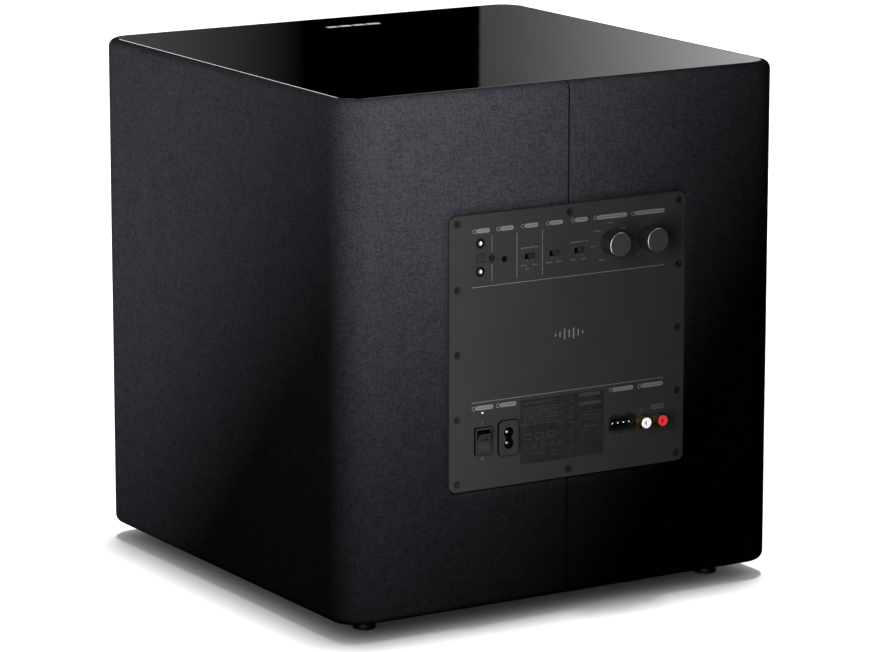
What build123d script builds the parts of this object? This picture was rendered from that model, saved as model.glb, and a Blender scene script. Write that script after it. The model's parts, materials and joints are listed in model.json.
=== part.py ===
from build123d import *
import os
from math import cos, radians, sin

# Powered subwoofer in a fabric-wrapped, nearly cubic closed cabinet.
# Millimetres. The origin lies on the floor under the middle of the whole envelope, +Z is up,
# -Y is the driver side and +Y is the amplifier side.

# ---------------------------------------------------------------- cabinet
CABINET_W = 393.5
CABINET_D = 393.5
CABINET_H = 400.0
CORNER_R = 24.0  # upright edges
EDGE_R = 6.5  # top and bottom edges
PANEL_T = 18.0
BAFFLE_T = 25.0
BRACE_T = 15.0
BRACE_Y = 48.0  # middle of the window brace
WINDOW_RIM = 42.0  # wood left around and between the brace's windows
GRILLE_T = 28.0  # depth of the frame that carries the fabric in front of the driver
GRILLE_RIB_W = 12.0
GRILLE_RIB_T = 4.0
GRILLE_RIB_LAP = 2.0  # rib ends let into the frame
TOP_PLATE_T = 4.0
TOP_PLATE_GAP = 0.3  # shadow line round the gloss top plate
TOP_PLATE_CHAMFER = 0.5
FABRIC_T = 1.0
FABRIC_LAP = 3.0  # fabric turned under the base beyond the side panels
FABRIC_CUT_GAP = 0.3  # cut-out in the fabric to the amplifier's plate
SEAM_W = 0.6  # butt seam up the middle of the rear
WADDING_T = 20.0

# ---------------------------------------------------------------- feet
FOOT_H = 13.0
FOOT_R = 9.0
FOOT_INSET = 39.5
PAD_T = 2.5
PAD_BORE_R = 5.0
PAD_CHAMFER = 0.5
FOOT_SCREW_R = 2.0
FOOT_SCREW_HEAD_R = 4.0
FOOT_SCREW_HEAD_T = 2.0
FOOT_SCREW_BITE = 12.0  # length in the bottom board

# ---------------------------------------------------------------- driver
FLANGE_R = 152.5
FLANGE_T = 4.0
DRIVER_GASKET_T = 1.0
BASKET_R = 140.0
BASKET_WALL = 3.0
BASKET_CLEARANCE = 0.5
BASKET_BASE_R = 90.0
BASKET_DEPTH = 105.0
BASKET_FLOOR_LAP = 5.0  # floor's hole beyond the magnet's bore
BASKET_RIM_IN = 13.0  # depth of the straight rim, inside
BASKET_RIM_OUT = 17.0  # and outside
BASKET_SHOULDER = 4.0  # outer wall's turn below the spider's ledge
SPOKES = 6
WINDOW_FROM = 26.0  # the windows between the spokes start at this depth
WINDOW_TO_LEDGE = 6.0  # and end this far above the spider's ledge
WINDOW_CLEARANCE = 1.0  # window to the basket's base
WINDOW_OVERRUN = 12.0  # cutter beyond the basket's wall
SPOKE_DEG = 18.0
DRIVER_SCREWS = 8
DRIVER_SCREW_R = 2.5
DRIVER_SCREW_HEAD_R = 4.2
DRIVER_SCREW_HEAD_T = 3.0
DRIVER_SCREW_L = 20.0
DRIVER_HEX_R = 2.0
DRIVER_HEX_DEPTH = 1.8
ROLL_R = 12.0  # outer radius of the half-roll surround
ROLL_T = 1.2
ROLL_LIP_IN = 6.0  # glued lip on the cone
ROLL_LIP_OUT = 5.0  # glued lip on the flange
CONE_RIM_R = 112.0
CONE_DEPTH = 52.0
CONE_T = 1.5
CONE_LIP_BACK = 5.0  # flat rim, behind
COIL_R = 39.0  # outside of the coil former
FORMER_T = 0.6
WINDING_T = 1.0
WINDING_L = 18.0
FORMER_TAIL = 2.0  # former beyond the winding
FORMER_STEP = 1.0  # former ahead of the cone's neck
GAP_CLEARANCE = 0.6
SPIDER_DEPTH = 76.0
SPIDER_T = 0.8
SPIDER_LEDGE = 10.0
SPIDER_WAVES = 5
SPIDER_WAVE_H = 3.0
SPIDER_FLAT = 4.0  # plain rim at either edge
SPIDER_RIM_GAP = 4.0  # spider's edge to the basket's wall
DUST_CAP_LAP = 7.0  # dust cap's edge beyond the coil former
DUST_CAP_RISE = 11.0
DUST_CAP_T = 1.0
POLE_PLATE_T = 10.0
POLE_PLATE_R = 76.0
MAGNET_R = 84.0
MAGNET_BORE_CLEARANCE = 9.4  # beyond the magnetic gap
MAGNET_T = 26.0
YOKE_T = 10.0
POLE_VENT_R = 9.0
POLE_PROUD = 1.0  # pole beyond the front plate
MAGNET_CHAMFER = 1.5
TERMINAL_BLOCK = (20.0, 10.0, 8.0)
TERMINAL_RISE = 12.0  # block's middle ahead of the basket's floor
EXCURSION = 9.0

# ---------------------------------------------------------------- amplifier plate
PLATE_SIDE = 213.5
PLATE_T = 2.0
PLATE_CORNER_R = 6.0
PLATE_BEVEL = 0.8
GASKET_T = 0.75
GASKET_INSET = 1.0
SCREW_INSET = 6.75  # screw centres from the plate's edge
SCREW_R = 1.7
SCREW_HEAD_R = 2.9
SCREW_HEAD_T = 1.7
SCREW_SINK = 0.2  # heads sit this far below the face
SCREW_L = 15.0
HEX_R = 1.4
HEX_DEPTH = 1.2
OPENING_MARGIN = 14.75  # plate edge to the cut-out in the rear panel
COVER_GAP = 2.0  # cut-out to the amplifier's cover
COVER_WALL = 1.5
COVER_DEPTH = 86.0

# places on the plate: X, and height above the plate's middle
CROSSOVER_AT = (-37.0, 73.3)
VOLUME_AT = (-71.3, 73.3)
SWITCHES_AT = {"eq": (35.8, 69.8), "phase": (13.8, 69.8), "mode": (-8.7, 69.8)}
TRIGGER_AT = (58.3, 69.7)
INSERTS_AT = ((79.7, 83.7), (79.7, 62.0))
MODULE_SCREW_AT = (69.5, 71.3)
LED_AT = (77.8, -46.7)
ROCKER_AT = (77.5, -68.3)
INLET_AT = (55.1, -68.6)
LABEL_AT = (6.05, -66.3)
HEADER_AT = (-47.15, -69.2)
JACKS_AT = {"white": (-67.0, -70.7), "red": (-82.3, -70.7)}

# controls
KNOB_R = 9.5
KNOB_L = 14.15
KNOB_GAP = 0.6
KNOB_CHAMFER = 0.4
KNOB_SKIRT_R = 8.0  # inside of the knob's skirt
KNOB_FACE_T = 3.0
KNOB_HUB_R = 5.0
POINTER = (0.8, 3.3)
POINTER_DEPTH = 0.3
POINTER_INSET = 1.0  # from the knob's rim
SHAFT_R = 3.0
SHAFT_CLEARANCE = 0.05
SHAFT_HOLE_CLEARANCE = 0.5
SHAFT_TAIL = 6.3  # behind the plate
SHAFT_END_GAP = 0.3
POT_SIDE = 16.0
POT_CORNER_R = 1.0
BEHIND_PLATE = 9.0  # plate to control board
SWITCH_SLOT = (8.7, 4.2)
SWITCH_TAB = (3.4, 3.4)
SWITCH_TRAVEL = 4.0
SWITCH_TAB_PROUD = 0.6  # above the plate's face
SWITCH_BODY = (14.0, 7.5)
SWITCH_SLEEVE = 0.3  # clearance under the tab's slider
SWITCH_WELL = 5.4  # slider's well behind the plate
SWITCH_GROOVE = (0.4, 0.35)  # width and depth
SWITCH_GROOVES = 3

# rocker
ROCKER_BEZEL = (15.0, 21.0)
ROCKER_OPENING = (11.8, 17.4)
ROCKER_BEZEL_T = 1.8
ROCKER_DEPTH = 17.0
ROCKER_SWING = 3.0  # room behind the rocker
BEZEL_LAP = 1.0  # bezel over the edge of its cut-out
BEZEL_CHAMFER = 0.4
BEZEL_CORNER_R = 1.0
ROCKER_CLEARANCE = 0.3
ROCKER_TILT = 10.0  # either side of level
ROCKER_PIVOT_DEPTH = 4.0  # pivot below the plate's face
ROCKER_BACK = 4.0  # rocker's thickness behind its pivot
ROCKER_PIVOT_R = 1.2
ROCKER_PIVOT_L = 1.0
GRIP_RIBS = 4
GRIP_RIB_W = 0.9
GRIP_RIB_PITCH = 2.1
GRIP_RIB_L = 5.5  # down from the rocker's upper end
GRIP_RIB_H = 0.9  # at the rib's lower end

# sockets
INLET_BEZEL = (18.2, 27.8)
INLET_BEZEL_T = 1.8
INLET_CORNER_R = 4.0
INLET_BODY = (15.0, 24.0)
INLET_DEPTH = 20.0
INLET_LOBE_R = 4.2
INLET_PITCH = 8.6
INLET_WAIST = 5.4
INLET_CAVITY = 15.0
INLET_PIN_R = 1.2
INLET_PIN_L = 13.0
INLET_PIN_ROOT = 4.0
INLET_PIN_TIP_R = 0.5
HEADER_SIZE = (21.7, 11.0)
HEADER_CAVITY = (20.4, 7.6)
HEADER_PROUD = 2.5
HEADER_DEPTH = 7.0  # cavity below the plate's face
HEADER_PITCH = 5.08
HEADER_POLES = 4
HEADER_PIN = 1.0
HEADER_PIN_INSET = 1.5
HEADER_FLOOR_T = 2.0
HEADER_RIB = (1.6, 1.2)
HEADER_RIB_PITCH = 12.0
JACK_R = 4.15
JACK_PROUD = 7.7
JACK_NUT_R = 5.4
JACK_NUT_T = 1.2
JACK_LINING_R = 3.4
JACK_LIP_T = 0.7
JACK_BORE_R = 1.6
JACK_TAIL = 6.0
JACK_END_T = 2.0
TRIGGER_R = 1.75
TRIGGER_BUSH_R = 2.6
TRIGGER_DEPTH = 9.0
TRIGGER_BODY = 7.0
INSERT_R = 2.5
INSERT_BORE_R = 1.5
INSERT_L = 7.0
LED_R = 1.5
LED_PROUD = 0.4
LED_TAIL = 3.0
LED_EDGE_R = 0.35
LABEL_SIZE = (75.5, 50.0)
LABEL_T = 0.15
LABEL_CORNER_R = 1.0

# electronics
BOARD_T = 1.6
CONTROL_BOARD = (172.0, 34.0)
CONTROL_BOARD_Z = 69.5
MAIN_BOARD = (160.0, 118.0)
MAIN_BOARD_Z = -16.0
STANDOFF_L = 36.0
STANDOFF_R = 3.0
STANDOFFS_AT = ((74.0, 26.0), (-74.0, 26.0), (74.0, -26.0), (-74.0, -26.0))
HEAT_SINK = (140.0, 34.0, 36.0)  # along X, along Z, and off the board
HEAT_SINK_Z = 24.0
FINS = 12
FIN_T = 2.0
FIN_FLOOR = 5.0
TRANSFORMER_R = 30.0
TRANSFORMER_BORE_R = 9.0
TRANSFORMER_L = 34.0
TRANSFORMER_EDGE_R = 8.0
TRANSFORMER_AT = (38.0, -44.0)
CAPACITOR_R = 12.5
CAPACITOR_L = 40.0
CAPACITOR_EDGE_R = 1.2
CAPACITORS_AT = ((-25.0, -44.0), (-55.0, -44.0))
WIRE_R = 1.5
WIRE_PITCH = 8.0
WIRE_RUN_X = 46.0  # the leads pass through a window of the brace at this X
WIRE_RUN_Z = -70.0  # and at this height above the cabinet's middle
WIRE_BEND_R = 9.0
WIRE_TAIL = 6.0  # inside the amplifier's cover
FIT = 0.05  # clearance of a screw or a lead in its hole

# ---------------------------------------------------------------- worked out
REAR_REACH = GASKET_T + PLATE_T - FABRIC_T + KNOB_GAP + KNOB_L
CABINET_Y = -REAR_REACH / 2
FRONT_Y = CABINET_Y - CABINET_D / 2
REAR_Y = CABINET_Y + CABINET_D / 2
BASE_Z = FOOT_H
TOP_Z = BASE_Z + CABINET_H
MIDDLE_Z = BASE_Z + CABINET_H / 2
INNER_X = CABINET_W / 2 - FABRIC_T - PANEL_T
BAFFLE_Y = FRONT_Y + FABRIC_T + GRILLE_T
BAFFLE_BACK_Y = BAFFLE_Y + BAFFLE_T
PANEL_REAR_Y = REAR_Y - FABRIC_T
PANEL_FRONT_Y = PANEL_REAR_Y - PANEL_T
FLOOR_Z = BASE_Z + FABRIC_T + PANEL_T
CEILING_Z = TOP_Z - TOP_PLATE_T - PANEL_T
PLATE_BACK_Y = PANEL_REAR_Y + GASKET_T
PLATE_FACE_Y = PLATE_BACK_Y + PLATE_T
OPENING_SIDE = PLATE_SIDE - 2 * OPENING_MARGIN
COVER_SIDE = OPENING_SIDE - 2 * COVER_GAP
CONTROL_BOARD_Y = PLATE_BACK_Y - BEHIND_PLATE
MAIN_BOARD_Y = PLATE_BACK_Y - STANDOFF_L
SURROUND_IN_R = CONE_RIM_R + 1.0
GAP_OUT_R = COIL_R + WINDING_T + GAP_CLEARANCE
MAGNET_BORE_R = GAP_OUT_R + MAGNET_BORE_CLEARANCE
SURROUND_OUT_R = SURROUND_IN_R + 2 * ROLL_R
SCREW_CIRCLE_R = (FLANGE_R + SURROUND_OUT_R + ROLL_LIP_OUT) / 2
FABRIC_TURN = FABRIC_T + PANEL_T + FABRIC_LAP
KNOB_FACE_Y = PLATE_FACE_Y + KNOB_GAP + KNOB_L

driver_plane = Plane(origin=(0, BAFFLE_Y, MIDDLE_Z), x_dir=(1, 0, 0), z_dir=(0, 0, 1))
driver_axis = Axis((0, BAFFLE_Y, MIDDLE_Z), (0, 1, 0))
written = []
os.makedirs("parts", exist_ok=True)


def save(part, name):
    """Label one finished piece and write it as its own node."""
    part.label = name
    export_step(part, f"parts/{name}.step")
    written.append(name)


def facing(y, z=MIDDLE_Z):
    """Upright plane at y whose local axes are X and Z; extruding goes towards the driver side."""
    return Plane(origin=(0, y, z), x_dir=(1, 0, 0), z_dir=(0, -1, 0))


def rounded_cabinet(inset):
    """The cabinet's outline pulled in by inset on every side, corners and edges rounded."""
    with BuildPart() as body:
        with BuildSketch(Plane.XY.offset(BASE_Z + inset)):
            with Locations((0, CABINET_Y)):
                RectangleRounded(CABINET_W - 2 * inset, CABINET_D - 2 * inset, CORNER_R - inset)
        extrude(amount=CABINET_H - 2 * inset)
        rims = body.edges().group_by(Axis.Z)
        fillet(rims[0] + rims[-1], EDGE_R - inset)
    return body.part


def footprint(inset):
    """Rounded rectangle that follows the cabinet's plan, pulled in by inset."""
    with Locations((0, CABINET_Y)):
        RectangleRounded(CABINET_W - 2 * inset, CABINET_D - 2 * inset, max(CORNER_R - inset, 1.0))


def block(x0, x1, y0, y1, z0, z1, mode=Mode.ADD):
    """Box between two corners."""
    with Locations(((x0 + x1) / 2, (y0 + y1) / 2, (z0 + z1) / 2)):
        Box(x1 - x0, y1 - y0, z1 - z0, mode=mode)


def turned(points):
    """Solid of revolution about the driver's axis from (radius, depth) corners."""
    with BuildSketch(driver_plane) as profile:
        with BuildLine():
            Polyline(*points, close=True)
        make_face()
    revolve(profile.sketch, axis=driver_axis)


def square_slab(y, side, thickness, radius):
    """Square plate with rounded corners whose rear face is at y."""
    with BuildSketch(facing(y)) as square:
        RectangleRounded(side, side, radius)
    extrude(square.sketch, amount=thickness)


def rings_wider_than(edges, radius):
    """The circular edges whose radius is greater than the one given."""
    return edges.filter_by(GeomType.CIRCLE).filter_by(lambda edge: edge.radius > radius)


def screw_places():
    """Five screws down each side of the plate and one at the middle of its top and bottom."""
    reach = PLATE_SIDE / 2 - SCREW_INSET
    sides = [(x, reach * k / 2) for x in (-reach, reach) for k in (-2, -1, 0, 1, 2)]
    return sides + [(0.0, reach), (0.0, -reach)]


def foot_places():
    reach_x = CABINET_W / 2 - FOOT_INSET
    reach_y = CABINET_D / 2 - FOOT_INSET
    return [(sx * reach_x, CABINET_Y + sy * reach_y) for sx in (-1, 1) for sy in (-1, 1)]


def driver_screw_places():
    """The ring of screws through the driver's flange, either side of straight up."""
    return PolarLocations(SCREW_CIRCLE_R, DRIVER_SCREWS, start_angle=180 / DRIVER_SCREWS)


def drill_for_feet():
    """Pilot holes for the foot screws, drilled up into the wood."""
    with BuildSketch(Plane.XY.offset(BASE_Z)) as pilots:
        with Locations(*foot_places()):
            Circle(FOOT_SCREW_R + FIT)
    extrude(pilots.sketch, amount=FABRIC_T + FOOT_SCREW_BITE + 1, mode=Mode.SUBTRACT)


# ================================================================ cabinet
with BuildPart() as core_block:
    add(rounded_cabinet(FABRIC_T))
    with BuildSketch(Plane.XY.offset(TOP_Z - TOP_PLATE_T)):
        footprint(EDGE_R)
    extrude(amount=TOP_PLATE_T, mode=Mode.SUBTRACT)
core = core_block.part
LOW_Z = BASE_Z - 1
HIGH_Z = TOP_Z + 1


def side_panel(x0, x1):
    """Full-height side with its rounded corners."""
    with BuildPart() as panel:
        block(x0, x1, BAFFLE_Y, PANEL_REAR_Y, LOW_Z, HIGH_Z)
        add(core, mode=Mode.INTERSECT)
    return panel.part


left_side_panel = side_panel(-CABINET_W / 2, -INNER_X)
save(left_side_panel, "left_side_panel")
right_side_panel = side_panel(INNER_X, CABINET_W / 2)
save(right_side_panel, "right_side_panel")

with BuildPart() as front_baffle:
    block(-INNER_X, INNER_X, BAFFLE_Y, BAFFLE_BACK_Y, LOW_Z, HIGH_Z)
    add(core, mode=Mode.INTERSECT)
    drill_for_feet()
    with BuildSketch(facing(BAFFLE_BACK_Y)):
        Circle(BASKET_R + BASKET_CLEARANCE)
    extrude(amount=BAFFLE_T, mode=Mode.SUBTRACT)
    with BuildSketch(facing(BAFFLE_Y + FLANGE_T + DRIVER_GASKET_T)):
        Circle(FLANGE_R + BASKET_CLEARANCE)
    extrude(amount=FLANGE_T + DRIVER_GASKET_T, mode=Mode.SUBTRACT)
    with BuildSketch(facing(BAFFLE_BACK_Y)):
        with driver_screw_places():
            Circle(DRIVER_SCREW_R + FIT)
    extrude(amount=BAFFLE_T, mode=Mode.SUBTRACT)
save(front_baffle.part, "front_baffle")

with BuildPart() as rear_panel:
    block(-INNER_X, INNER_X, PANEL_FRONT_Y, PANEL_REAR_Y, LOW_Z, HIGH_Z)
    add(core, mode=Mode.INTERSECT)
    with BuildSketch(facing(PANEL_REAR_Y)):
        RectangleRounded(OPENING_SIDE, OPENING_SIDE, PLATE_CORNER_R)
        with Locations(*screw_places()):
            Circle(SCREW_R + FIT)
    extrude(amount=PANEL_T, mode=Mode.SUBTRACT)
save(rear_panel.part, "rear_panel")

with BuildPart() as top_board:
    block(-INNER_X, INNER_X, BAFFLE_BACK_Y, PANEL_FRONT_Y, CEILING_Z, TOP_Z - TOP_PLATE_T)
save(top_board.part, "top_board")

with BuildPart() as bottom_board:
    block(-INNER_X, INNER_X, BAFFLE_BACK_Y, PANEL_FRONT_Y, BASE_Z + FABRIC_T, FLOOR_Z)
    drill_for_feet()
save(bottom_board.part, "bottom_board")

with BuildPart() as window_brace:
    block(-INNER_X, INNER_X, BRACE_Y - BRACE_T / 2, BRACE_Y + BRACE_T / 2, FLOOR_Z, CEILING_Z)
    window_w = (2 * INNER_X - 3 * WINDOW_RIM) / 2
    window_h = (CEILING_Z - FLOOR_Z - 3 * WINDOW_RIM) / 2
    with BuildSketch(facing(BRACE_Y + BRACE_T / 2, (FLOOR_Z + CEILING_Z) / 2)):
        with GridLocations(window_w + WINDOW_RIM, window_h + WINDOW_RIM, 2, 2):
            RectangleRounded(window_w, window_h, WINDOW_RIM / 3)
    extrude(amount=BRACE_T, mode=Mode.SUBTRACT)
save(window_brace.part, "window_brace")

# open frame in front of the baffle, with crossed ribs that keep the fabric off the cone
with BuildPart() as grille_frame:
    block(-CABINET_W / 2, CABINET_W / 2, FRONT_Y, BAFFLE_Y, LOW_Z, HIGH_Z)
    add(core, mode=Mode.INTERSECT)
    with BuildSketch(facing(BAFFLE_Y)):
        Circle(FLANGE_R + BASKET_CLEARANCE)
    extrude(amount=GRILLE_T, mode=Mode.SUBTRACT)
    rib_back = FRONT_Y + FABRIC_T + GRILLE_RIB_T
    rib_length = 2 * (FLANGE_R + GRILLE_RIB_LAP)
    with BuildSketch(facing(rib_back)):
        Rectangle(rib_length, GRILLE_RIB_W)
        Rectangle(GRILLE_RIB_W, rib_length)
    extrude(amount=GRILLE_RIB_T)
save(grille_frame.part, "grille_frame")

with BuildPart() as top_plate:
    with BuildSketch(Plane.XY.offset(TOP_Z - TOP_PLATE_T)):
        footprint(EDGE_R + TOP_PLATE_GAP)
    extrude(amount=TOP_PLATE_T)
    chamfer(top_plate.edges().group_by(Axis.Z)[-1], TOP_PLATE_CHAMFER)
save(top_plate.part, "top_plate")

# one sleeve of cloth round all four sides, butted at the rear and turned under the base
with BuildPart() as fabric_wrap:
    add(rounded_cabinet(0))
    add(rounded_cabinet(FABRIC_T), mode=Mode.SUBTRACT)
    with BuildSketch(Plane.XY.offset(TOP_Z - EDGE_R)):
        footprint(EDGE_R)
    extrude(amount=EDGE_R + 1, mode=Mode.SUBTRACT)
    with BuildSketch(Plane.XY.offset(LOW_Z)):
        footprint(FABRIC_TURN)
    extrude(amount=EDGE_R, mode=Mode.SUBTRACT)
    square_cut = PLATE_SIDE + 2 * FABRIC_CUT_GAP
    with BuildSketch(facing(REAR_Y + 1)):
        RectangleRounded(square_cut, square_cut, PLATE_CORNER_R)
    extrude(amount=FABRIC_T + 2, mode=Mode.SUBTRACT)
    block(-SEAM_W / 2, SEAM_W / 2, REAR_Y - CORNER_R, REAR_Y + 1, LOW_Z, HIGH_Z, mode=Mode.SUBTRACT)
save(fabric_wrap.part, "fabric_wrap")


def wadding_slab(side):
    """One slab of fibre filling on the inside of a side panel, ahead of the brace."""
    near = side * INNER_X
    far = side * (INNER_X - WADDING_T)
    block(min(near, far), max(near, far), BAFFLE_BACK_Y, BRACE_Y - BRACE_T / 2, FLOOR_Z, CEILING_Z)


with BuildPart() as damping_wadding:
    for side in (-1, 1):
        wadding_slab(side)
save(damping_wadding.part, "damping_wadding")

# ================================================================ feet
with BuildPart() as foot_pads:
    with BuildSketch():
        with Locations(*foot_places()):
            Circle(FOOT_R)
            Circle(PAD_BORE_R, mode=Mode.SUBTRACT)
    extrude(amount=PAD_T)
    chamfer(rings_wider_than(foot_pads.edges().group_by(Axis.Z)[0], PAD_BORE_R + FIT), PAD_CHAMFER)
save(foot_pads.part, "foot_pads")

with BuildPart() as feet:
    with BuildSketch(Plane.XY.offset(PAD_T)):
        with Locations(*foot_places()):
            Circle(FOOT_R)
            Circle(FOOT_SCREW_R + FIT, mode=Mode.SUBTRACT)
    extrude(amount=FOOT_H + FABRIC_T - PAD_T)
save(feet.part, "feet")

with BuildPart() as foot_screws:
    with BuildSketch(Plane.XY.offset(PAD_T)):
        with Locations(*foot_places()):
            Circle(FOOT_SCREW_R)
    extrude(amount=FOOT_H + FABRIC_T - PAD_T + FOOT_SCREW_BITE)
    with BuildSketch(Plane.XY.offset(PAD_T - FOOT_SCREW_HEAD_T)):
        with Locations(*foot_places()):
            Circle(FOOT_SCREW_HEAD_R)
    extrude(amount=FOOT_SCREW_HEAD_T)
save(foot_screws.part, "foot_screws")

# ================================================================ driver
with BuildPart() as driver_gasket:
    with BuildSketch(facing(BAFFLE_Y + FLANGE_T + DRIVER_GASKET_T)):
        Circle(FLANGE_R)
        Circle(BASKET_R + BASKET_CLEARANCE, mode=Mode.SUBTRACT)
        with driver_screw_places():
            Circle(DRIVER_SCREW_R + FIT, mode=Mode.SUBTRACT)
    extrude(amount=DRIVER_GASKET_T)
save(driver_gasket.part, "driver_gasket")

basket_in_r = SURROUND_OUT_R
ledge_r = BASKET_BASE_R - SPIDER_LEDGE
floor_hole_r = MAGNET_BORE_R + BASKET_FLOOR_LAP
with BuildPart() as driver_basket:
    turned(
        [
            (basket_in_r, 0),
            (basket_in_r, BASKET_RIM_IN),
            (BASKET_BASE_R, SPIDER_DEPTH),
            (ledge_r, SPIDER_DEPTH),
            (ledge_r, SPIDER_DEPTH + BASKET_WALL),
            (BASKET_BASE_R, SPIDER_DEPTH + BASKET_WALL),
            (BASKET_BASE_R, BASKET_DEPTH - BASKET_WALL),
            (floor_hole_r, BASKET_DEPTH - BASKET_WALL),
            (floor_hole_r, BASKET_DEPTH),
            (BASKET_BASE_R + BASKET_WALL, BASKET_DEPTH),
            (BASKET_BASE_R + BASKET_WALL, SPIDER_DEPTH + BASKET_SHOULDER),
            (BASKET_R, BASKET_RIM_OUT),
            (BASKET_R, FLANGE_T),
            (FLANGE_R, FLANGE_T),
            (FLANGE_R, 0),
        ]
    )
    half_window = radians(180 / SPOKES - SPOKE_DEG / 2)
    near_r = BASKET_BASE_R + WINDOW_CLEARANCE
    far_r = (BASKET_R + WINDOW_OVERRUN) / cos(half_window)
    window = [
        (near_r * cos(half_window), -near_r * sin(half_window)),
        (far_r * cos(half_window), -far_r * sin(half_window)),
        (far_r * cos(half_window), far_r * sin(half_window)),
        (near_r * cos(half_window), near_r * sin(half_window)),
    ]
    window_to = SPIDER_DEPTH - WINDOW_TO_LEDGE
    with BuildSketch(facing(BAFFLE_Y + window_to)):
        with PolarLocations(0, SPOKES):
            with BuildLine():
                Polyline(*window, close=True)
            make_face()
    extrude(amount=window_to - WINDOW_FROM, mode=Mode.SUBTRACT)
    with BuildSketch(facing(BAFFLE_Y + FLANGE_T)):
        with driver_screw_places():
            Circle(DRIVER_SCREW_R + FIT)
    extrude(amount=FLANGE_T, mode=Mode.SUBTRACT)
save(driver_basket.part, "driver_basket")

with BuildPart() as driver_screws:
    with BuildSketch(facing(BAFFLE_Y + DRIVER_SCREW_L)):
        with driver_screw_places():
            Circle(DRIVER_SCREW_R)
    extrude(amount=DRIVER_SCREW_L)
    with BuildSketch(facing(BAFFLE_Y)):
        with driver_screw_places():
            Circle(DRIVER_SCREW_HEAD_R)
    extrude(amount=DRIVER_SCREW_HEAD_T)
    with BuildSketch(facing(BAFFLE_Y - DRIVER_SCREW_HEAD_T + DRIVER_HEX_DEPTH)):
        with driver_screw_places():
            RegularPolygon(DRIVER_HEX_R, 6)
    extrude(amount=DRIVER_HEX_DEPTH, mode=Mode.SUBTRACT)
save(driver_screws.part, "driver_screws")

# half-roll of rubber between the cone's rim and the basket's flange
with BuildPart() as surround:
    mid_r = (SURROUND_IN_R + SURROUND_OUT_R) / 2
    roll_in = ROLL_R - ROLL_T
    lip_in_r = SURROUND_IN_R - ROLL_LIP_IN
    lip_out_r = SURROUND_OUT_R + ROLL_LIP_OUT
    with BuildSketch(driver_plane):
        with BuildLine():
            Line((lip_in_r, 0), (mid_r - roll_in, 0))
            ThreePointArc((mid_r - roll_in, 0), (mid_r, -roll_in), (mid_r + roll_in, 0))
            Line((mid_r + roll_in, 0), (lip_out_r, 0))
            Line((lip_out_r, 0), (lip_out_r, -ROLL_T))
            Line((lip_out_r, -ROLL_T), (mid_r + ROLL_R, -ROLL_T))
            ThreePointArc((mid_r + ROLL_R, -ROLL_T), (mid_r, -ROLL_R - ROLL_T), (mid_r - ROLL_R, -ROLL_T))
            Line((mid_r - ROLL_R, -ROLL_T), (lip_in_r, -ROLL_T))
            Line((lip_in_r, -ROLL_T), (lip_in_r, 0))
        make_face()
    revolve(axis=driver_axis)
save(surround.part, "surround")

# flat at its rim, then straight down to the coil former
cone_flat_r = CONE_RIM_R - ROLL_LIP_IN
with BuildPart() as cone:
    turned(
        [
            (CONE_RIM_R, 0),
            (CONE_RIM_R, CONE_T),
            (CONE_RIM_R - CONE_LIP_BACK, CONE_T),
            (COIL_R, CONE_DEPTH + CONE_T),
            (COIL_R, CONE_DEPTH - CONE_T),
            (cone_flat_r, 0),
        ]
    )
save(cone.part, "cone")

# the dust cap is a slice of a sphere, seated where the cone's front face is as wide as the cap
cone_slope = (CONE_DEPTH - CONE_T) / (cone_flat_r - COIL_R)
dust_cap_r = COIL_R + DUST_CAP_LAP
cap_seat = (cone_flat_r - dust_cap_r) * cone_slope
cap_sphere_r = (dust_cap_r**2 + DUST_CAP_RISE**2) / (2 * DUST_CAP_RISE)
with BuildPart() as dust_cap:
    with Locations((0, BAFFLE_Y + cap_seat - DUST_CAP_RISE + cap_sphere_r, MIDDLE_Z)):
        Sphere(cap_sphere_r)
        Sphere(cap_sphere_r - DUST_CAP_T, mode=Mode.SUBTRACT)
    split(bisect_by=facing(BAFFLE_Y + cap_seat), keep=Keep.TOP)
save(dust_cap.part, "dust_cap")

coil_middle = BASKET_DEPTH + POLE_PLATE_T / 2
former_start = CONE_DEPTH - CONE_T - FORMER_STEP
former_end = coil_middle + WINDING_L / 2 + FORMER_TAIL
with BuildPart() as voice_coil_former:
    turned(
        [
            (COIL_R - FORMER_T, former_start),
            (COIL_R, former_start),
            (COIL_R, former_end),
            (COIL_R - FORMER_T, former_end),
        ]
    )
save(voice_coil_former.part, "voice_coil_former")

with BuildPart() as voice_coil:
    turned(
        [
            (COIL_R, coil_middle - WINDING_L / 2),
            (COIL_R + WINDING_T, coil_middle - WINDING_L / 2),
            (COIL_R + WINDING_T, coil_middle + WINDING_L / 2),
            (COIL_R, coil_middle + WINDING_L / 2),
        ]
    )
save(voice_coil.part, "voice_coil")

# corrugated cloth disc that centres the coil
with BuildPart() as spider:
    end_r = BASKET_BASE_R - SPIDER_RIM_GAP
    wave_r = COIL_R + SPIDER_FLAT
    steps = 2 * SPIDER_WAVES
    pitch = (end_r - COIL_R - 2 * SPIDER_FLAT) / steps
    crests = [(COIL_R, 0.0), (wave_r, 0.0)]
    crests += [(wave_r + pitch * (k + 0.5), SPIDER_WAVE_H * (-1) ** k) for k in range(steps)]
    crests += [(end_r - SPIDER_FLAT, 0.0), (end_r, 0.0)]
    front = [(r, SPIDER_DEPTH - SPIDER_T + h) for r, h in crests]
    back = [(r, SPIDER_DEPTH + h) for r, h in reversed(crests)]
    turned(front + back)
save(spider.part, "spider")

with BuildPart() as front_pole_plate:
    turned(
        [
            (GAP_OUT_R, BASKET_DEPTH),
            (POLE_PLATE_R, BASKET_DEPTH),
            (POLE_PLATE_R, BASKET_DEPTH + POLE_PLATE_T),
            (GAP_OUT_R, BASKET_DEPTH + POLE_PLATE_T),
        ]
    )
save(front_pole_plate.part, "front_pole_plate")

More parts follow.
